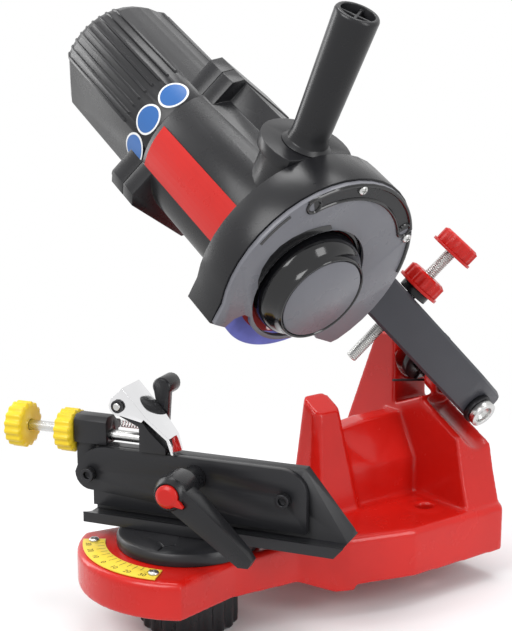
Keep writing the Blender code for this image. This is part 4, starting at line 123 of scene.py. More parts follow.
camera_data = bpy.data.cameras.new("camera")
camera_data.sensor_fit = "VERTICAL"
camera_data.sensor_height = 36
camera_data.lens = 36 * FOCAL_PIXELS / PHOTO_HEIGHT
camera_data.clip_end = 20
camera = bpy.data.objects.new("camera", camera_data)
bpy.context.scene.collection.objects.link(camera)
back = LENS_BACK.normalized()
right = (LENS_RIGHT - back * LENS_RIGHT.dot(back)).normalized()
camera.matrix_world = axes_matrix(right, back.cross(right), back, LENS_PLACE)
bpy.context.scene.camera = camera
bpy.context.scene.view_settings.view_transform = "Standard"
print("lens", round(camera_data.lens, 1), "mm")

# %% [markdown]
# ## Floor, backdrop and light
# The photograph is a cut-out on white. A pale floor under the lock knob catches a soft shadow
# and thins out to nothing further off, where the white of the world stands behind it. Light Path
# keeps that white for the camera and for reflections, so it doesn't light the grinder more.

# %% Floor and world
def link_nodes(tree, source, target):
    tree.links.new(source, target)


def new_material(name):
    material = bpy.data.materials.new(name)
    material.use_nodes = True
    return material, material.node_tree, material.node_tree.nodes["Principled BSDF"]


FLOOR_HALF = 6.0
FLOOR_GAP = 0.0005
FADE_START, FADE_END = 0.16, 0.42
floor_height = cad_box[0][2] - FLOOR_GAP
floor_mesh = bpy.data.meshes.new("floor")
corners = [(x * FLOOR_HALF, y * FLOOR_HALF) for x, y in ((-1, -1), (1, -1), (1, 1), (-1, 1))]
floor_mesh.from_pydata([(x, y, floor_height) for x, y in corners], [], [(0, 1, 2, 3)])
floor = bpy.data.objects.new("floor", floor_mesh)
bpy.context.scene.collection.objects.link(floor)
floor_finish, tree, shader = new_material("pale floor")
shader.inputs["Base Color"].default_value = (0.90, 0.90, 0.90, 1)
shader.inputs["Roughness"].default_value = 0.9
shader.inputs["Specular IOR Level"].default_value = 0.0
place = tree.nodes.new("ShaderNodeTexCoord").outputs["Object"]
distance = tree.nodes.new("ShaderNodeVectorMath")
distance.operation = "LENGTH"
link_nodes(tree, place, distance.inputs[0])
fade = tree.nodes.new("ShaderNodeMapRange")
fade.interpolation_type = "SMOOTHERSTEP"
link_nodes(tree, distance.outputs["Value"], fade.inputs["Value"])
fade.inputs["From Min"].default_value = FADE_START
fade.inputs["From Max"].default_value = FADE_END
clear = tree.nodes.new("ShaderNodeBsdfTransparent")
thin = tree.nodes.new("ShaderNodeMixShader")
link_nodes(tree, fade.outputs["Result"], thin.inputs["Fac"])
link_nodes(tree, shader.outputs[0], thin.inputs[1])
link_nodes(tree, clear.outputs[0], thin.inputs[2])
link_nodes(tree, thin.outputs[0], tree.nodes["Material Output"].inputs["Surface"])
floor_mesh.materials.append(floor_finish)

world = bpy.data.worlds.new("studio")
world.use_nodes = True
bpy.context.scene.world = world
tree = world.node_tree
background = tree.nodes["Background"]
white = tree.nodes.new("ShaderNodeBackground")
white.inputs["Color"].default_value = (1, 1, 1, 1)
white.inputs["Strength"].default_value = 1.0
background.inputs["Color"].default_value = (0.95, 0.97, 1, 1)
background.inputs["Strength"].default_value = 0.55
path = tree.nodes.new("ShaderNodeLightPath")
seen = None
for ray in ("Is Camera Ray", "Is Glossy Ray", "Is Transmission Ray"):
    if seen is None:
        seen = path.outputs[ray]
        continue
    either = tree.nodes.new("ShaderNodeMath")
    either.operation = "MAXIMUM"
    link_nodes(tree, seen, either.inputs[0])
    link_nodes(tree, path.outputs[ray], either.inputs[1])
    seen = either.outputs[0]
mix = tree.nodes.new("ShaderNodeMixShader")
link_nodes(tree, seen, mix.inputs["Fac"])
link_nodes(tree, background.outputs[0], mix.inputs[1])
link_nodes(tree, white.outputs[0], mix.inputs[2])
link_nodes(tree, mix.outputs[0], tree.nodes["World Output"].inputs["Surface"])
print("floor at", round(floor_height, 4))

# %% Lamps
def soft_lamp(name, place, aim, width, height, watts):
    """A large soft panel that looks at a point."""
    data = bpy.data.lights.new(name, "AREA")
    data.shape = "RECTANGLE"
    data.size = width
    data.size_y = height
    data.energy = watts
    lamp = bpy.data.objects.new(name, data)
    bpy.context.scene.collection.objects.link(lamp)
    lamp.location = place
    lamp.rotation_euler = (Vector(aim) - Vector(place)).to_track_quat("-Z", "Y").to_euler()
    return lamp


GRINDER_MIDDLE = (0.0, -0.08, 0.18)
soft_lamp("key panel", (0.25, -1.5, 1.35), GRINDER_MIDDLE, 1.1, 0.9, 21)
soft_lamp("right panel", (1.6, 0.25, 0.75), GRINDER_MIDDLE, 0.5, 1.3, 11)
soft_lamp("left panel", (-1.5, -0.7, 0.8), GRINDER_MIDDLE, 0.5, 1.4, 10)
soft_lamp("top panel", (-0.1, 0.1, 1.6), GRINDER_MIDDLE, 1.2, 0.5, 12)
print("four soft panels")

# %% [markdown]
# ## Shared surface effects
# Three effects come back on many finishes, so each is a node group with its own sliders:
# a fine grain for bumps, a slow mottling for uneven gloss, and a mask on sharp edges, which gives
# real wear on blackened steel and a painted highlight on the red enamel.
# Groups hold no shader, so that an exporter can read what comes out of them.

# %% Group helpers
def new_group(name, inputs, outputs):
    group = bpy.data.node_groups.new(name, "ShaderNodeTree")
    for label, kind, value in inputs:
        socket = group.interface.new_socket(name=label, in_out="INPUT", socket_type=kind)
        socket.default_value = value
    for label, kind in outputs:
        group.interface.new_socket(name=label, in_out="OUTPUT", socket_type=kind)
    start = group.nodes.new("NodeGroupInput")
    end = group.nodes.new("NodeGroupOutput")
    return group, start, end


def noise(tree, vector, scale, detail=3.0, roughness=0.5):
    node = tree.nodes.new("ShaderNodeTexNoise")
    node.inputs["Detail"].default_value = detail
    node.inputs["Roughness"].default_value = roughness
    link_nodes(tree, vector, node.inputs["Vector"])
    if hasattr(scale, "is_linked"):
        link_nodes(tree, scale, node.inputs["Scale"])
    else:
        node.inputs["Scale"].default_value = scale
    return node.outputs["Fac"]


def spread(tree, value, low, high, new_low, new_high):
    """Stretch a value from one range to another; an end may be a socket."""
    node = tree.nodes.new("ShaderNodeMapRange")
    link_nodes(tree, value, node.inputs["Value"])
    for label, end in (("From Min", low), ("From Max", high), ("To Min", new_low), ("To Max", new_high)):
        if hasattr(end, "is_linked"):
            link_nodes(tree, end, node.inputs[label])
        else:
            node.inputs[label].default_value = end
    return node.outputs["Result"]


def combine(tree, operation, first, second):
    node = tree.nodes.new("ShaderNodeMath")
    node.operation = operation
    for place, value in enumerate((first, second)):
        if hasattr(value, "is_linked"):
            link_nodes(tree, value, node.inputs[place])
        else:
            node.inputs[place].default_value = value
    return node.outputs["Value"]


# %% Grain, mottle, and the edge mask for wear and painted highlight
FLOAT = "NodeSocketFloat"

grain_group, start, end = new_group("surface grain", [("Scale", FLOAT, 900.0)], [("Height", FLOAT)])
place = grain_group.nodes.new("ShaderNodeTexCoord").outputs["Object"]
link_nodes(grain_group, noise(grain_group, place, start.outputs["Scale"], 4.0, 0.6), end.inputs["Height"])

mottle_group, start, end = new_group(
    "uneven gloss",
    [("Scale", FLOAT, 30.0), ("Low", FLOAT, 0.3), ("High", FLOAT, 0.5)],
    [("Roughness", FLOAT)])
place = mottle_group.nodes.new("ShaderNodeTexCoord").outputs["Object"]
patches = noise(mottle_group, place, start.outputs["Scale"], 5.0, 0.65)
uneven = spread(mottle_group, patches, 0.3, 0.7, start.outputs["Low"], start.outputs["High"])
link_nodes(mottle_group, uneven, end.inputs["Roughness"])

# The edge mask picks out sharp, convex edges: there it gives real wear on blackened steel and a painted highlight on
# the red enamel.
edge_highlight_and_wear_group, start, end = new_group("edge highlight and wear", [("Amount", FLOAT, 0.5)], [("Mask", FLOAT)])
place = edge_highlight_and_wear_group.nodes.new("ShaderNodeTexCoord").outputs["Object"]
edges = edge_highlight_and_wear_group.nodes.new("ShaderNodeNewGeometry").outputs["Pointiness"]
sharp = spread(edge_highlight_and_wear_group, edges, 0.60, 0.74, 0.0, 1.0)
broken = spread(edge_highlight_and_wear_group, noise(edge_highlight_and_wear_group, place, 260.0, 5.0, 0.7), 0.45, 0.62, 0.0, 1.0)
patchy_edges = combine(edge_highlight_and_wear_group, "MULTIPLY", sharp, broken)
wear_and_highlight = combine(edge_highlight_and_wear_group, "MULTIPLY", patchy_edges, start.outputs["Amount"])
link_nodes(edge_highlight_and_wear_group, wear_and_highlight, end.inputs["Mask"])
print("groups:", [group.name for group in bpy.data.node_groups])

# %% [markdown]
# ## Finishes
# Every finish is one Principled shader. The grain drives a Bump, the mottle drives Roughness,
# and a mix puts a second colour on sharp edges: real wear on the blackened steel and a painted
# highlight of lighter red on the red enamel. The table of finishes below holds the only values
# that differ.

# %% The finish builder
def group_node(tree, group, **values):
    node = tree.nodes.new("ShaderNodeGroup")
    node.node_tree = group
    for label, value in values.items():
        node.inputs[label].default_value = value
    return node


def finish(name, colour, gloss=(0.3, 0.4), metal=0.0, grain=(900.0, 0.1), wear_and_highlight=None, shade=0.12,
           coat=0.0, patch_scale=30.0, shine=0.32):
    """A painted, moulded or metal finish from shared groups."""
    material, tree, shader = new_material(name)
    shader.inputs["Metallic"].default_value = metal
    shader.inputs["Specular IOR Level"].default_value = shine
    if coat:
        shader.inputs["Coat Weight"].default_value = coat
        shader.inputs["Coat Roughness"].default_value = 0.08
    mottle = group_node(tree, mottle_group, Scale=patch_scale, Low=gloss[0], High=gloss[1])
    link_nodes(tree, mottle.outputs["Roughness"], shader.inputs["Roughness"])
    height = group_node(tree, grain_group, Scale=grain[0])
    bump = tree.nodes.new("ShaderNodeBump")
    bump.inputs["Strength"].default_value = grain[1]
    bump.inputs["Distance"].default_value = 0.0004
    link_nodes(tree, height.outputs["Height"], bump.inputs["Height"])
    link_nodes(tree, bump.outputs["Normal"], shader.inputs["Normal"])
    place = tree.nodes.new("ShaderNodeTexCoord").outputs["Object"]
    ramp = tree.nodes.new("ShaderNodeValToRGB")
    dark = [c * (1 - shade) for c in colour]
    light = [min(1.0, c * (1 + shade)) for c in colour]
    ramp.color_ramp.elements[0].position = 0.35
    ramp.color_ramp.elements[0].color = (*dark, 1)
    ramp.color_ramp.elements[1].position = 0.65
    ramp.color_ramp.elements[1].color = (*light, 1)
    link_nodes(tree, noise(tree, place, 22.0, 4.0, 0.6), ramp.inputs["Fac"])
    colour_out = ramp.outputs["Color"]
    # Sharp edges take a second colour: real wear on blackened steel, a painted highlight on the red enamel.
    if wear_and_highlight:
        mask = group_node(tree, edge_highlight_and_wear_group, Amount=wear_and_highlight[1])
        mix = tree.nodes.new("ShaderNodeMix")
        mix.data_type = "RGBA"
        link_nodes(tree, mask.outputs["Mask"], mix.inputs["Factor"])
        link_nodes(tree, colour_out, mix.inputs["A"])
        mix.inputs["B"].default_value = (*wear_and_highlight[0], 1)
        colour_out = mix.outputs["Result"]
    link_nodes(tree, colour_out, shader.inputs["Base Color"])
    return material


# %% Paints and enamels
# The lighter, pinkish red on the red enamel's sharp edges is a painted highlight, not wear.
red_enamel = finish("red enamel", (0.56, 0.010, 0.006), (0.20, 0.30),
                    grain=(420.0, 0.05), wear_and_highlight=((0.85, 0.12, 0.08), 0.4), shade=0.05, coat=0.12)
black_enamel = finish("black enamel", (0.017, 0.017, 0.019), (0.30, 0.38),
                      grain=(1300.0, 0.10), shade=0.06)
arm_enamel = finish("dark grey enamel", (0.050, 0.051, 0.060), (0.36, 0.46),
                    grain=(1100.0, 0.16), shade=0.05)
cover_enamel = finish("satin grey enamel", (0.185, 0.185, 0.205), (0.24, 0.34),
                      grain=(1500.0, 0.03), shade=0.04)
print("paints:", red_enamel.name, black_enamel.name, arm_enamel.name, cover_enamel.name)

# %% Plastics
black_plastic = finish("black moulded plastic", (0.012, 0.012, 0.0135), (0.24, 0.32),
                       grain=(2400.0, 0.05), shade=0.06)
gloss_plastic = finish("gloss black plastic", (0.006, 0.006, 0.007), (0.09, 0.14),
                       grain=(900.0, 0.01), shade=0.05, shine=0.5)
red_plastic = finish("red plastic", (0.56, 0.014, 0.010), (0.26, 0.34),
                     grain=(1500.0, 0.04), shade=0.05)
yellow_plastic = finish("yellow plastic", (0.86, 0.62, 0.030), (0.28, 0.38),
                        grain=(1500.0, 0.04), shade=0.05)
plate_yellow = finish("yellow plate", (0.88, 0.66, 0.070), (0.30, 0.40),
                      grain=(1500.0, 0.02), shade=0.03)
blotter_red = finish("red blotter", (0.30, 0.012, 0.010), (0.6, 0.7),
                     grain=(2400.0, 0.2), shade=0.10)
sticker_blue = finish("blue sticker", (0.025, 0.120, 0.360), (0.28, 0.36),
                      grain=(900.0, 0.01), shade=0.04)
sticker_white = finish("white sticker", (0.78, 0.78, 0.77), (0.28, 0.36),
                       grain=(900.0, 0.01), shade=0.02)
ink = finish("scale ink", (0.020, 0.020, 0.018), (0.45, 0.55), grain=(900.0, 0.01), shade=0.05)
print("plastics:", black_plastic.name, gloss_plastic.name, red_plastic.name, yellow_plastic.name)

# %% Metals and grit
zinc_steel = finish("zinc-plated steel", (0.60, 0.60, 0.59), (0.20, 0.36), 1.0,
                    grain=(1600.0, 0.10), shade=0.10)
black_steel = finish("blackened steel", (0.035, 0.035, 0.038), (0.30, 0.45), 0.7,
                     grain=(1400.0, 0.12), wear_and_highlight=((0.30, 0.30, 0.31), 0.6))
chrome = finish("chrome", (0.80, 0.80, 0.81), (0.05, 0.14), 1.0, grain=(700.0, 0.02), shade=0.04)
bronze = finish("bearing bronze", (0.50, 0.32, 0.14), (0.30, 0.45), 1.0, grain=(1500.0, 0.10))
copper = finish("wound copper", (0.50, 0.23, 0.11), (0.35, 0.5), 0.8, grain=(2600.0, 0.5))
grit = finish("blue grit", (0.19, 0.205, 0.62), (0.85, 0.95), grain=(2600.0, 0.8), shade=0.25)
print("metals:", zinc_steel.name, black_steel.name, chrome.name, bronze.name, copper.name, grit.name)

# %% [markdown]
# ## Giving every solid its finish
# Nothing is left in the plain colours it was packed with. One table names the finish of each
# node, and a short loop puts it in the node's material slots.

# %% Finish of each node
finish_of = {}
for finish_here, members in (
    (red_enamel, "base"),
    (black_enamel, "turntable vise_rail clamp_plate guide_block stop_carriage"),
    (arm_enamel, "arm"),
    (cover_enamel, "guard_cover nut_disc"),
    (black_plastic, "lock_knob clamp_lever stop_handle spring_drum depth_collar guard_housing motor_housing"
                    " tail_cover cable_gland switch_frame handle cooling_fan"),
    (gloss_plastic, "clamp_nut"),
    (red_plastic, "lever_button depth_knob depth_lock_knob switch_rocker label_strip"),
    (yellow_plastic, "adjuster_knob adjuster_lock_knob"),
    (plate_yellow, "scale_plate"),
    (zinc_steel, "pivot_bolt pivot_nut clamp_stud lever_stud adjuster_rod stop_pin depth_stud scale_screw_left"
                 " scale_screw_right cover_screw_front cover_screw_top inner_flange motor_shaft rotor_core"
                 " front_bearing rear_bearing run_capacitor stop_spring"),
    (black_steel, "pivot_collar return_spring plate_screw_left plate_screw_right stop_circlip arm_screw"
                  " tail_screw_lower tail_screw_upper"),
    (chrome, "stop_finger"),
    (bronze, "pivot_bush"),
    (copper, "stator"),
    (grit, "grinding_wheel"),
):
    for node in members.split():
        finish_of[node] = finish_here
for node, solid in nodes.items():
    solid.data.materials.clear()
    solid.data.materials.append(finish_of[node])
print("finished", len(finish_of), "of", len(nodes), "nodes")

# %% [markdown]
# ## Edges that catch the light
# A real casting or moulding has no knife edges. A copy of each solid, with its flat triangles
# joined into whole faces first, takes a small bevel, and the copy stands for the solid.

# %% Rounded copies
def apply_modifiers(piece):
    """Swap a piece's mesh for what its modifiers make of it, and return the new mesh."""
    bpy.context.view_layer.update()
    baked = bpy.data.meshes.new_from_object(piece.evaluated_get(bpy.context.evaluated_depsgraph_get()))
    piece.modifiers.clear()
    piece.data = baked
    return baked


def rounded_copy(node, width, segments=2, angle=28.0):
    """A copy of a solid with its sharp edges bevelled by a width in metres."""
    shape = bmesh.new()
    shape.from_mesh(nodes[node].data)
    bmesh.ops.remove_doubles(shape, verts=shape.verts, dist=0.00002)
    bmesh.ops.dissolve_limit(shape, angle_limit=math.radians(0.6), verts=shape.verts, edges=shape.edges)
    mesh = bpy.data.meshes.new(node + "_rounded")
    shape.to_mesh(mesh)
    shape.free()
    piece = bpy.data.objects.new(node + "_rounded", mesh)
    bpy.context.scene.collection.objects.link(piece)
    bevel = piece.modifiers.new("edges", "BEVEL")
    bevel.limit_method = "ANGLE"
    bevel.angle_limit = math.radians(angle)
    bevel.width = width
    bevel.segments = segments
    bevel.miter_outer = "MITER_ARC"
    baked = apply_modifiers(piece)
    baked.shade_smooth()
    baked.set_sharp_from_angle(angle=math.radians(50))
    dress(piece, finish_of[node], node)
    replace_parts(piece, node)
    return piece


def dress(piece, finish_here, node):
    """Finish a piece like a node and let it ride with that node's body."""
    piece.data.materials.clear()
    piece.data.materials.append(finish_here)
    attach(piece, body_of[node])


for width, members in (
    (0.0008, "arm vise_rail clamp_lever guide_block stop_carriage"),
    (0.0006, "clamp_plate guard_cover guard_housing depth_knob depth_lock_knob lock_knob motor_housing"),
    (0.0005, "handle tail_cover depth_collar spring_drum"),
    (0.0004, "stop_handle lever_button adjuster_knob adjuster_lock_knob cable_gland switch_rocker"),
    (0.0003, "turntable adjuster_rod stop_finger stop_pin pivot_bolt pivot_nut pivot_collar"
             " plate_screw_left plate_screw_right"),
    (0.0002, "scale_plate arm_screw tail_screw_lower tail_screw_upper clamp_stud lever_stud switch_frame"),
):
    for node in members.split():
        rounded_copy(node, width)
print("rounded copies made")

# %% [markdown]
# ## The coil beside the adjuster rod
# One end of this spring rests on the guide block and the other on the stop carriage, so it shortens
# and grows as the carriage slides. Its copy is shaded smooth and baked in place, and follows neither body.

# %% Coil that follows both ends
coil = bpy.data.objects.new("stop_spring_coil", nodes["stop_spring"].data.copy())
bpy.context.scene.collection.objects.link(coil)
coil.data.shade_smooth()
coil.data.set_sharp_from_angle(angle=math.radians(50))
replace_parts(coil, "stop_spring")
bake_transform(coil)

# %% [markdown]
# ## The base casting
# A casting leaves its mould with soft inside and outside corners. A voxel remesh turns the
# faceted solid into an even skin, and a few smoothing passes round every corner alike.

# %% Base casting
def cast_copy(node, voxel, passes):
    """A copy of a solid with soft, cast corners."""
    piece = bpy.data.objects.new(node + "_casting", nodes[node].data.copy())
    bpy.context.scene.collection.objects.link(piece)
    remesh = piece.modifiers.new("skin", "REMESH")
    remesh.mode = "VOXEL"
    remesh.voxel_size = voxel
    soften = piece.modifiers.new("soften", "SMOOTH")
    soften.factor = 0.5
    soften.iterations = passes
    baked = apply_modifiers(piece)
    baked.shade_smooth()
    dress(piece, finish_of[node], node)
    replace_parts(piece, node)
    return piece


base_casting = cast_copy("base", 0.0011, 14)
print("base casting:", len(base_casting.data.vertices), "points")

# %% [markdown]
# ## Turned pieces
# Anything that came off a lathe is drawn once as a half outline and turned through enough
# steps to look round: the domed clamp nut, its disc, the wheel and the small screws.

# %% Turning a half outline
def new_piece(name, points, faces, finish_here, node, smooth=True):
    """A mesh from points in world metres that rides with a node's body."""
    mesh = bpy.data.meshes.new(name)
    mesh.from_pydata([tuple(point) for point in points], [], faces)
    mesh.validate()
    shape = bmesh.new()
    shape.from_mesh(mesh)
    bmesh.ops.remove_doubles(shape, verts=shape.verts, dist=0.000002)
    bmesh.ops.recalc_face_normals(shape, faces=shape.faces)
    shape.to_mesh(mesh)
    shape.free()
    if smooth:
        mesh.shade_smooth()
        mesh.set_sharp_from_angle(angle=math.radians(40))
    piece = bpy.data.objects.new(name.replace(" ", "_"), mesh)
    bpy.context.scene.collection.objects.link(piece)
    dress(piece, finish_here, node)
    return piece


def turned_piece(name, profile, place, finish_here, node, sides=96):
    """Turn (radius, height) pairs about the z axis of a frame."""
    points, faces = [], []
    for radius, height in profile:
        for step in range(sides):
            angle = math.tau * step / sides
            points.append(place @ Vector((radius * math.cos(angle), radius * math.sin(angle), height)))
    for row in range(len(profile) - 1):
        for step in range(sides):
            after = (step + 1) % sides
            low, high = row * sides, (row + 1) * sides
            faces.append((low + step, low + after, high + after, high + step))
    return new_piece(name, points, faces, finish_here, node)


def millimetres(pairs):
    return [(a / 1000, b / 1000) for a, b in pairs]


# %% Clamp nut, its disc and the wheel
cap = [(0, 2.8), (12.8, 2.8), (12.8, 8), (31.5, 8), (31.7, 6.2), (34.2, 6.1), (34.45, 6.6), (34.2, 9),
       (33.7, 13), (33.0, 15.2), (32.0, 17.0), (30.5, 18.8), (29.4, 20.4), (28.8, 22.5), (28.4, 24.2),
       (27.9, 24.9), (27.2, 24.9), (26.6, 24.3), (26.4, 23.5), (0, 23.5)]
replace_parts(turned_piece("cap turned", millimetres(cap), head, gloss_plastic, "clamp_nut", 160), "clamp_nut")
disc = [(0, 23.8), (26.1, 23.8), (26.1, 24.5), (25.6, 24.85), (0, 24.85)]
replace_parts(turned_piece("disc turned", millimetres(disc), head, cover_enamel, "nut_disc", 160), "nut_disc")
wheel = [(11.2, -2.2), (51.6, -2.2), (52.4, -1.5), (52.4, 1.5), (51.6, 2.2), (11.2, 2.2), (11.2, -2.2)]
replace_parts(turned_piece("wheel turned", millimetres(wheel), head, grit, "grinding_wheel", 192), "grinding_wheel")
blotter = [(20.5, 2.2), (41.0, 2.2), (41.0, 2.6), (20.5, 2.6), (20.5, 2.2)]
turned_piece("blotter", millimetres(blotter), head, blotter_red, "grinding_wheel", 128)
print("cap, disc, wheel and blotter turned")

# %% [markdown]
# ## Small screws
# A pan head is a turned dome with a cross sunk in it. One helper makes them all, from the middle
# of the head, its outward direction and its radius.

# %% Pan-head screws
SECOND_BAR = 0.98


def cross_tool(reach, half, depth):
    """Two crossed bars; the second is a touch narrower, so that no faces lie in one plane."""
    shape = bmesh.new()
    for turn in (0.0, math.pi / 2):
        size = Vector((2 * reach, 2 * half, 2 * depth))
        for point in bmesh.ops.create_cube(shape, size=1.0)["verts"]:
            point.co = Matrix.Rotation(turn, 3, "Z") @ (point.co * size)
        half = half * SECOND_BAR
    return shape


def carve(piece, shape, place):
    """Cut a tool shape, placed by a matrix, out of a piece."""
    shape.transform(place)
    mesh = bpy.data.meshes.new("tool")
    shape.to_mesh(mesh)
    shape.free()
    tool = bpy.data.objects.new("tool", mesh)
    bpy.context.scene.collection.objects.link(tool)
    bite = piece.modifiers.new("bite", "BOOLEAN")
    bite.operation = "DIFFERENCE"
    bite.object = tool
    bite.use_self = True
    apply_modifiers(piece)
    bpy.data.objects.remove(tool)


def pan_screw(node, place, radius, height, shank, depth, finish_here):
    """A pan head with a cross recess; the frame's z axis points out of the seat."""
    dome = [(0, -depth), (shank, -depth), (shank, 0), (radius, 0), (radius, height * 0.35),
            (radius * 0.93, height * 0.65), (radius * 0.75, height * 0.88), (radius * 0.45, height * 0.97),
            (0, height)]
    piece = turned_piece(node + " pan", dome, place, finish_here, node, 48)
    tool = cross_tool(radius * 0.62, radius * 0.13, height * 0.55)
    carve(piece, tool, place @ Matrix.Translation((0, 0, height)) @ Matrix.Rotation(0.4, 4, "Z"))
    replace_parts(piece, node)
    return piece


def node_middle(node, frame_matrix):
    """The middle, the lows and the highs of a node's bounds in a slanted frame."""
    inside = frame_matrix.inverted()
    spots = [inside @ vertex.co for vertex in nodes[node].data.vertices]
    lows = [min(spot[i] for spot in spots) for i in range(3)]
    highs = [max(spot[i] for spot in spots) for i in range(3)]
    return [(low + high) / 2 for low, high in zip(lows, highs)], lows, highs


HEAD_ROOM = 0.0018
HEAD_HEIGHT = 0.0017
SHANK_END = 0.0002
for node, frame_here, radius, shank in (
    ("scale_screw_left", vise, 0.0032, 0.0013),
    ("scale_screw_right", vise, 0.0032, 0.0013),
    ("cover_screw_front", head, 0.0029, 0.0014),
    ("cover_screw_top", head, 0.0029, 0.0014),
):
    middle, lows, highs = node_middle(node, frame_here)
    seat = highs[2] - HEAD_ROOM
    place = frame_here @ Matrix.Translation((middle[0], middle[1], seat))
    pan_screw(node, place, radius, HEAD_HEIGHT, shank, seat - lows[2] - SHANK_END, zinc_steel)
print("four pan screws")

# %% [markdown]
# ## Thread
# The depth stud is threaded from end to end. The surface of a round bar is laid out as a grid,
# and each point sinks or rises by where it falls on the helix.

# %% Threaded bar
PITCH = 0.00125


def threaded_bar(node, frame_matrix, radius, depth, ends=0.0008, columns=20, rows_per_turn=4):
    """A bar with a helical thread along the z axis of a frame, through a node's length."""
    middle, lows, highs = node_middle(node, frame_matrix)
    length = highs[2] - lows[2] - 0.0001
    rows = int(length / PITCH * rows_per_turn)
    points, faces = [], []
    for row in range(rows + 1):
        height = lows[2] + 0.00005 + length * row / rows
        rest = min(row, rows - row) / rows * length
        limit = radius - max(0.0, ends - rest)
        for column in range(columns):
            angle = math.tau * column / columns
            share = (height / PITCH - column / columns) % 1.0
            here = min(limit, radius - depth * abs(2 * share - 1))
            spot = (middle[0] + here * math.cos(angle), middle[1] + here * math.sin(angle), height)
            points.append(frame_matrix @ Vector(spot))
    for row in range(rows):
        for column in range(columns):
            after = (column + 1) % columns
            low, high = row * columns, (row + 1) * columns
            faces.append((low + column, low + after, high + after, high + column))
    faces.append(tuple(range(columns))[::-1])
    faces.append(tuple(rows * columns + column for column in range(columns)))
    piece = new_piece(node + " thread", points, faces, finish_of[node], node, smooth=False)
    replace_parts(piece, node)
    return piece


stud_out = Vector(joints["depth_slide"]["axis"]).normalized()
stud_side = stud_out.orthogonal().normalized()
stud = axes_matrix(stud_side, stud_out.cross(stud_side), stud_out, nodes["depth_stud"].data.vertices[0].co)
threaded_bar("depth_stud", stud, 0.0039, 0.00065)
print("threaded stud made")

# %% [markdown]
# ## The guard cover's relief
# A black channel follows the upper edge of the grey cover and ends in a hook at each side. A
# darker crescent sinks round the clamp nut: a flat black sheet that stands for the opening there,
# part black inner housing and part painted shade. A short slot sits at the left.

# %% Bands on the guard cover
GUARD_MIDDLE = (-0.0035, -0.0070)


def band(name, inner, outer, start, end, low, high, finish_here, node, steps=40, centre=GUARD_MIDDLE):
    """A curved bar between two radii and two angles in degrees, with its upper edges eased."""
    ease = min(high - low, outer - inner) * 0.3
    section = [(inner, low), (inner, high - ease), (inner + ease, high),
               (outer - ease, high), (outer, high - ease), (outer, low)]
    points, faces = [], []
    for step in range(steps + 1):
        angle = math.radians(start + (end - start) * step / steps)
        for radius, height in section:
            spot = (centre[0] + radius * math.cos(angle), centre[1] + radius * math.sin(angle), height)
            points.append(head @ Vector(spot))
    count = len(section)
    for step in range(steps):
        for side in range(count):
            after = (side + 1) % count
            low_row, high_row = step * count, (step + 1) * count
            faces.append((low_row + side, low_row + after, high_row + after, high_row + side))
    faces.append(tuple(range(count)))
    faces.append(tuple(steps * count + side for side in range(count))[::-1])
    return new_piece(name, points, faces, finish_here, node)


def plate_piece(name, outline, low, high, finish_here, node):
    """A flat piece with the given outline, between two heights along the head."""
    points = [head @ Vector((x, y, height)) for height in (low, high) for x, y in outline]
    count = len(outline)
    faces = [tuple(range(count))[::-1], tuple(range(count, 2 * count))]
    faces += [(side, (side + 1) % count, count + (side + 1) % count, count + side) for side in range(count)]
    return new_piece(name, points, faces, finish_here, node, smooth=False)


COVER_FACE = 0.0111
SUNK = COVER_FACE - 0.001
for name, inner, outer, start, end, rise, finish_here, steps in (
    ("channel outer wall", 0.0622, 0.0646, -122, -28, 0.0012, gloss_plastic, 40),
    ("channel inner wall", 0.0535, 0.0555, -120, -31, 0.0010, gloss_plastic, 40),
    ("channel floor", 0.0550, 0.0625, -120, -31, 0.00015, black_plastic, 40),
    ("rim down the right", 0.0615, 0.0640, -152, -124, 0.0010, gloss_plastic, 16),
    ("left slot", 0.0608, 0.0635, -17, 3, 0.0002, gloss_plastic, 12),
):
    band(name, inner, outer, start, end, SUNK, COVER_FACE + rise, finish_here, "guard_cover", steps)
# The crescent is a black sheet on the grey cover: part black inner housing, part painted shade in the opening round
# the nut.
crescent = [(0.0332, 0.0178), (0.0385, 0.0135), (0.0430, 0.0070), (0.0453, -0.0010), (0.0450, -0.0090),
            (0.0420, -0.0165), (0.0365, -0.0245), (0.0300, -0.0305), (0.0241, -0.0346), (0.0205, -0.0335)]
INNER_EDGE = 0.0383
for degrees in range(-56, 28, 6):
    angle = math.radians(degrees)
    crescent.append((INNER_EDGE * math.cos(angle), INNER_EDGE * math.sin(angle)))
plate_piece("crescent", crescent, SUNK, COVER_FACE + 0.00018, gloss_plastic, "guard_cover")
band("nut well", 0.0352, 0.0384, -230, 60, 0.0052, 0.0080, gloss_plastic, "guard_cover", 60, (0.0, 0.0))
CHANNEL_RADIUS = 0.0588
for degrees in (-31, -120):
    angle = math.radians(degrees)
    middle = (GUARD_MIDDLE[0] + CHANNEL_RADIUS * math.cos(angle),
              GUARD_MIDDLE[1] + CHANNEL_RADIUS * math.sin(angle))
    band("channel end %d" % abs(degrees), 0.0033, 0.0053, 0, 360, SUNK, COVER_FACE + 0.0010,
         gloss_plastic, "guard_cover", 24, middle)
clip_ring = [(2.0, 2.7), (5.0, 2.7), (5.3, 4.2), (4.6, 5.6), (2.0, 5.8), (2.0, 2.7)]
clip_place = head @ Matrix.Translation((-0.0125, 0.0352, 0))
CLIP_SCALE = 0.55
turned_piece("steel clip", millimetres(clip_ring), clip_place @ Matrix.Scale(CLIP_SCALE, 4), zinc_steel,
             "grinding_wheel", 32)
print("cover relief made")

# %% [markdown]
# ## Stickers and the angle scale
# Three plain round stickers sit in a row round the front of the tail. The angle scale has a tick
# every five degrees and plain numbers every ten, read from the front of the bench.

# %% Stickers on the barrel
BARREL_MIDDLE = (0.0, -0.0070)
SMOOTH_R = 0.0426
STICKER_Z = -0.1282


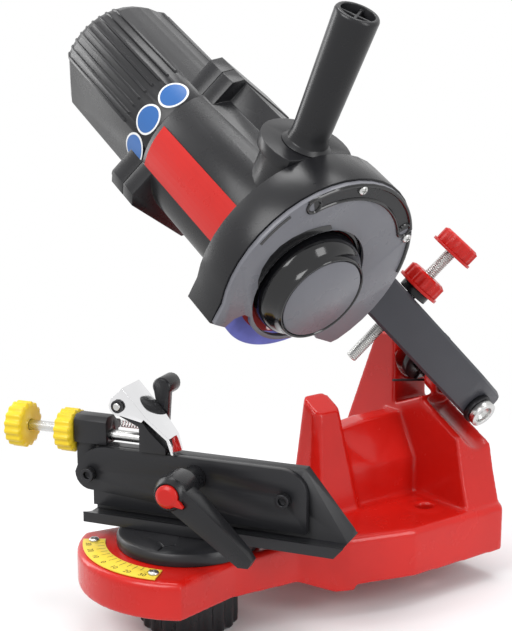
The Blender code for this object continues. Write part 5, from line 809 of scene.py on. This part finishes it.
def barrel_disc(name, angle, height, low, radius, thick, finish_here):
    """A round sticker bent over the barrel at an angle in degrees and a height along the head."""
    rings, steps = 5, 40
    points, faces = [], []
    for layer in (low, low + thick):
        for ring in range(rings + 1):
            reach = radius * ring / rings
            for step in range(steps):
                turn = math.tau * step / steps
                along = height + reach * math.sin(turn)
                round_by = math.radians(angle) + reach * math.cos(turn) / (SMOOTH_R + layer)
                points.append(head @ Vector((
                    BARREL_MIDDLE[0] + (SMOOTH_R + layer) * math.cos(round_by),
                    BARREL_MIDDLE[1] + (SMOOTH_R + layer) * math.sin(round_by),
                    along,
                )))
    for layer in (0, 1):
        base = layer * (rings + 1) * steps
        for ring in range(rings):
            for step in range(steps):
                after = (step + 1) % steps
                near, far = base + ring * steps, base + (ring + 1) * steps
                quad = (near + step, near + after, far + after, far + step)
                faces.append(quad if layer else quad[::-1])
    edge, top = rings * steps, (2 * rings + 1) * steps
    faces += [(edge + step, edge + (step + 1) % steps, top + (step + 1) % steps, top + step) for step in range(steps)]
    return new_piece(name, points, faces, finish_here, "tail_cover")


for number, angle in enumerate((-20.7, 8.0, 36.5), 1):
    barrel_disc("sticker %d" % number, angle, STICKER_Z, 0.00002, 0.0098, 0.0002, sticker_white)
    barrel_disc("sticker face %d" % number, angle, STICKER_Z, 0.00023, 0.0085, 0.00006, sticker_blue)
print("three stickers")

# %% Ticks and numbers
PLATE_TOP = 0.0011
SCALE_ZERO = -120
TICK_START, TICK_SHORT, TICK_LONG = 0.0528, 0.0570, 0.0585
TICK_HALF = 0.00022
ticks_points, ticks_faces = [], []
for degrees in range(-30, 31, 5):
    turn = math.radians(degrees + SCALE_ZERO)
    reach = TICK_SHORT if degrees % 10 else TICK_LONG
    side = Vector((-math.sin(turn), math.cos(turn), 0)) * TICK_HALF
    first = len(ticks_points)
    for radius in (TICK_START, reach):
        spot = Vector((radius * math.cos(turn), radius * math.sin(turn), PLATE_TOP + 0.00004))
        ticks_points += [vise @ (spot - side), vise @ (spot + side)]
    ticks_faces.append((first, first + 1, first + 3, first + 2))
new_piece("ticks", ticks_points, ticks_faces, ink, "scale_plate", smooth=False)


def plain_number(number, turn, radius, size):
    """A printed number whose top points to the middle of the scale."""
    curve = bpy.data.curves.new("number", "FONT")
    curve.body = str(number)
    curve.size = size
    curve.align_x = "CENTER"
    curve.align_y = "CENTER"
    curve.extrude = 0.00001
    letter = bpy.data.objects.new("number", curve)
    bpy.context.scene.collection.objects.link(letter)
    bpy.context.view_layer.update()
    mesh = bpy.data.meshes.new_from_object(letter.evaluated_get(bpy.context.evaluated_depsgraph_get()))
    bpy.data.objects.remove(letter)
    spot = Matrix.Translation((radius * math.cos(turn), radius * math.sin(turn), PLATE_TOP + 0.00005))
    mesh.transform(vise @ spot @ Matrix.Rotation(turn + math.pi / 2, 4, "Z"))
    piece = bpy.data.objects.new("number_%d" % round(math.degrees(turn)), mesh)
    bpy.context.scene.collection.objects.link(piece)
    dress(piece, ink, "scale_plate")
    return piece


NUMBER_RADIUS, NUMBER_SIZE = 0.0625, 0.0050
SQUEEZE = 0.97
for degrees in range(-30, 31, 10):
    turn = math.radians(degrees * SQUEEZE + SCALE_ZERO + 360)
    plain_number(abs(degrees), turn, NUMBER_RADIUS, NUMBER_SIZE)
print("ticks and numbers")
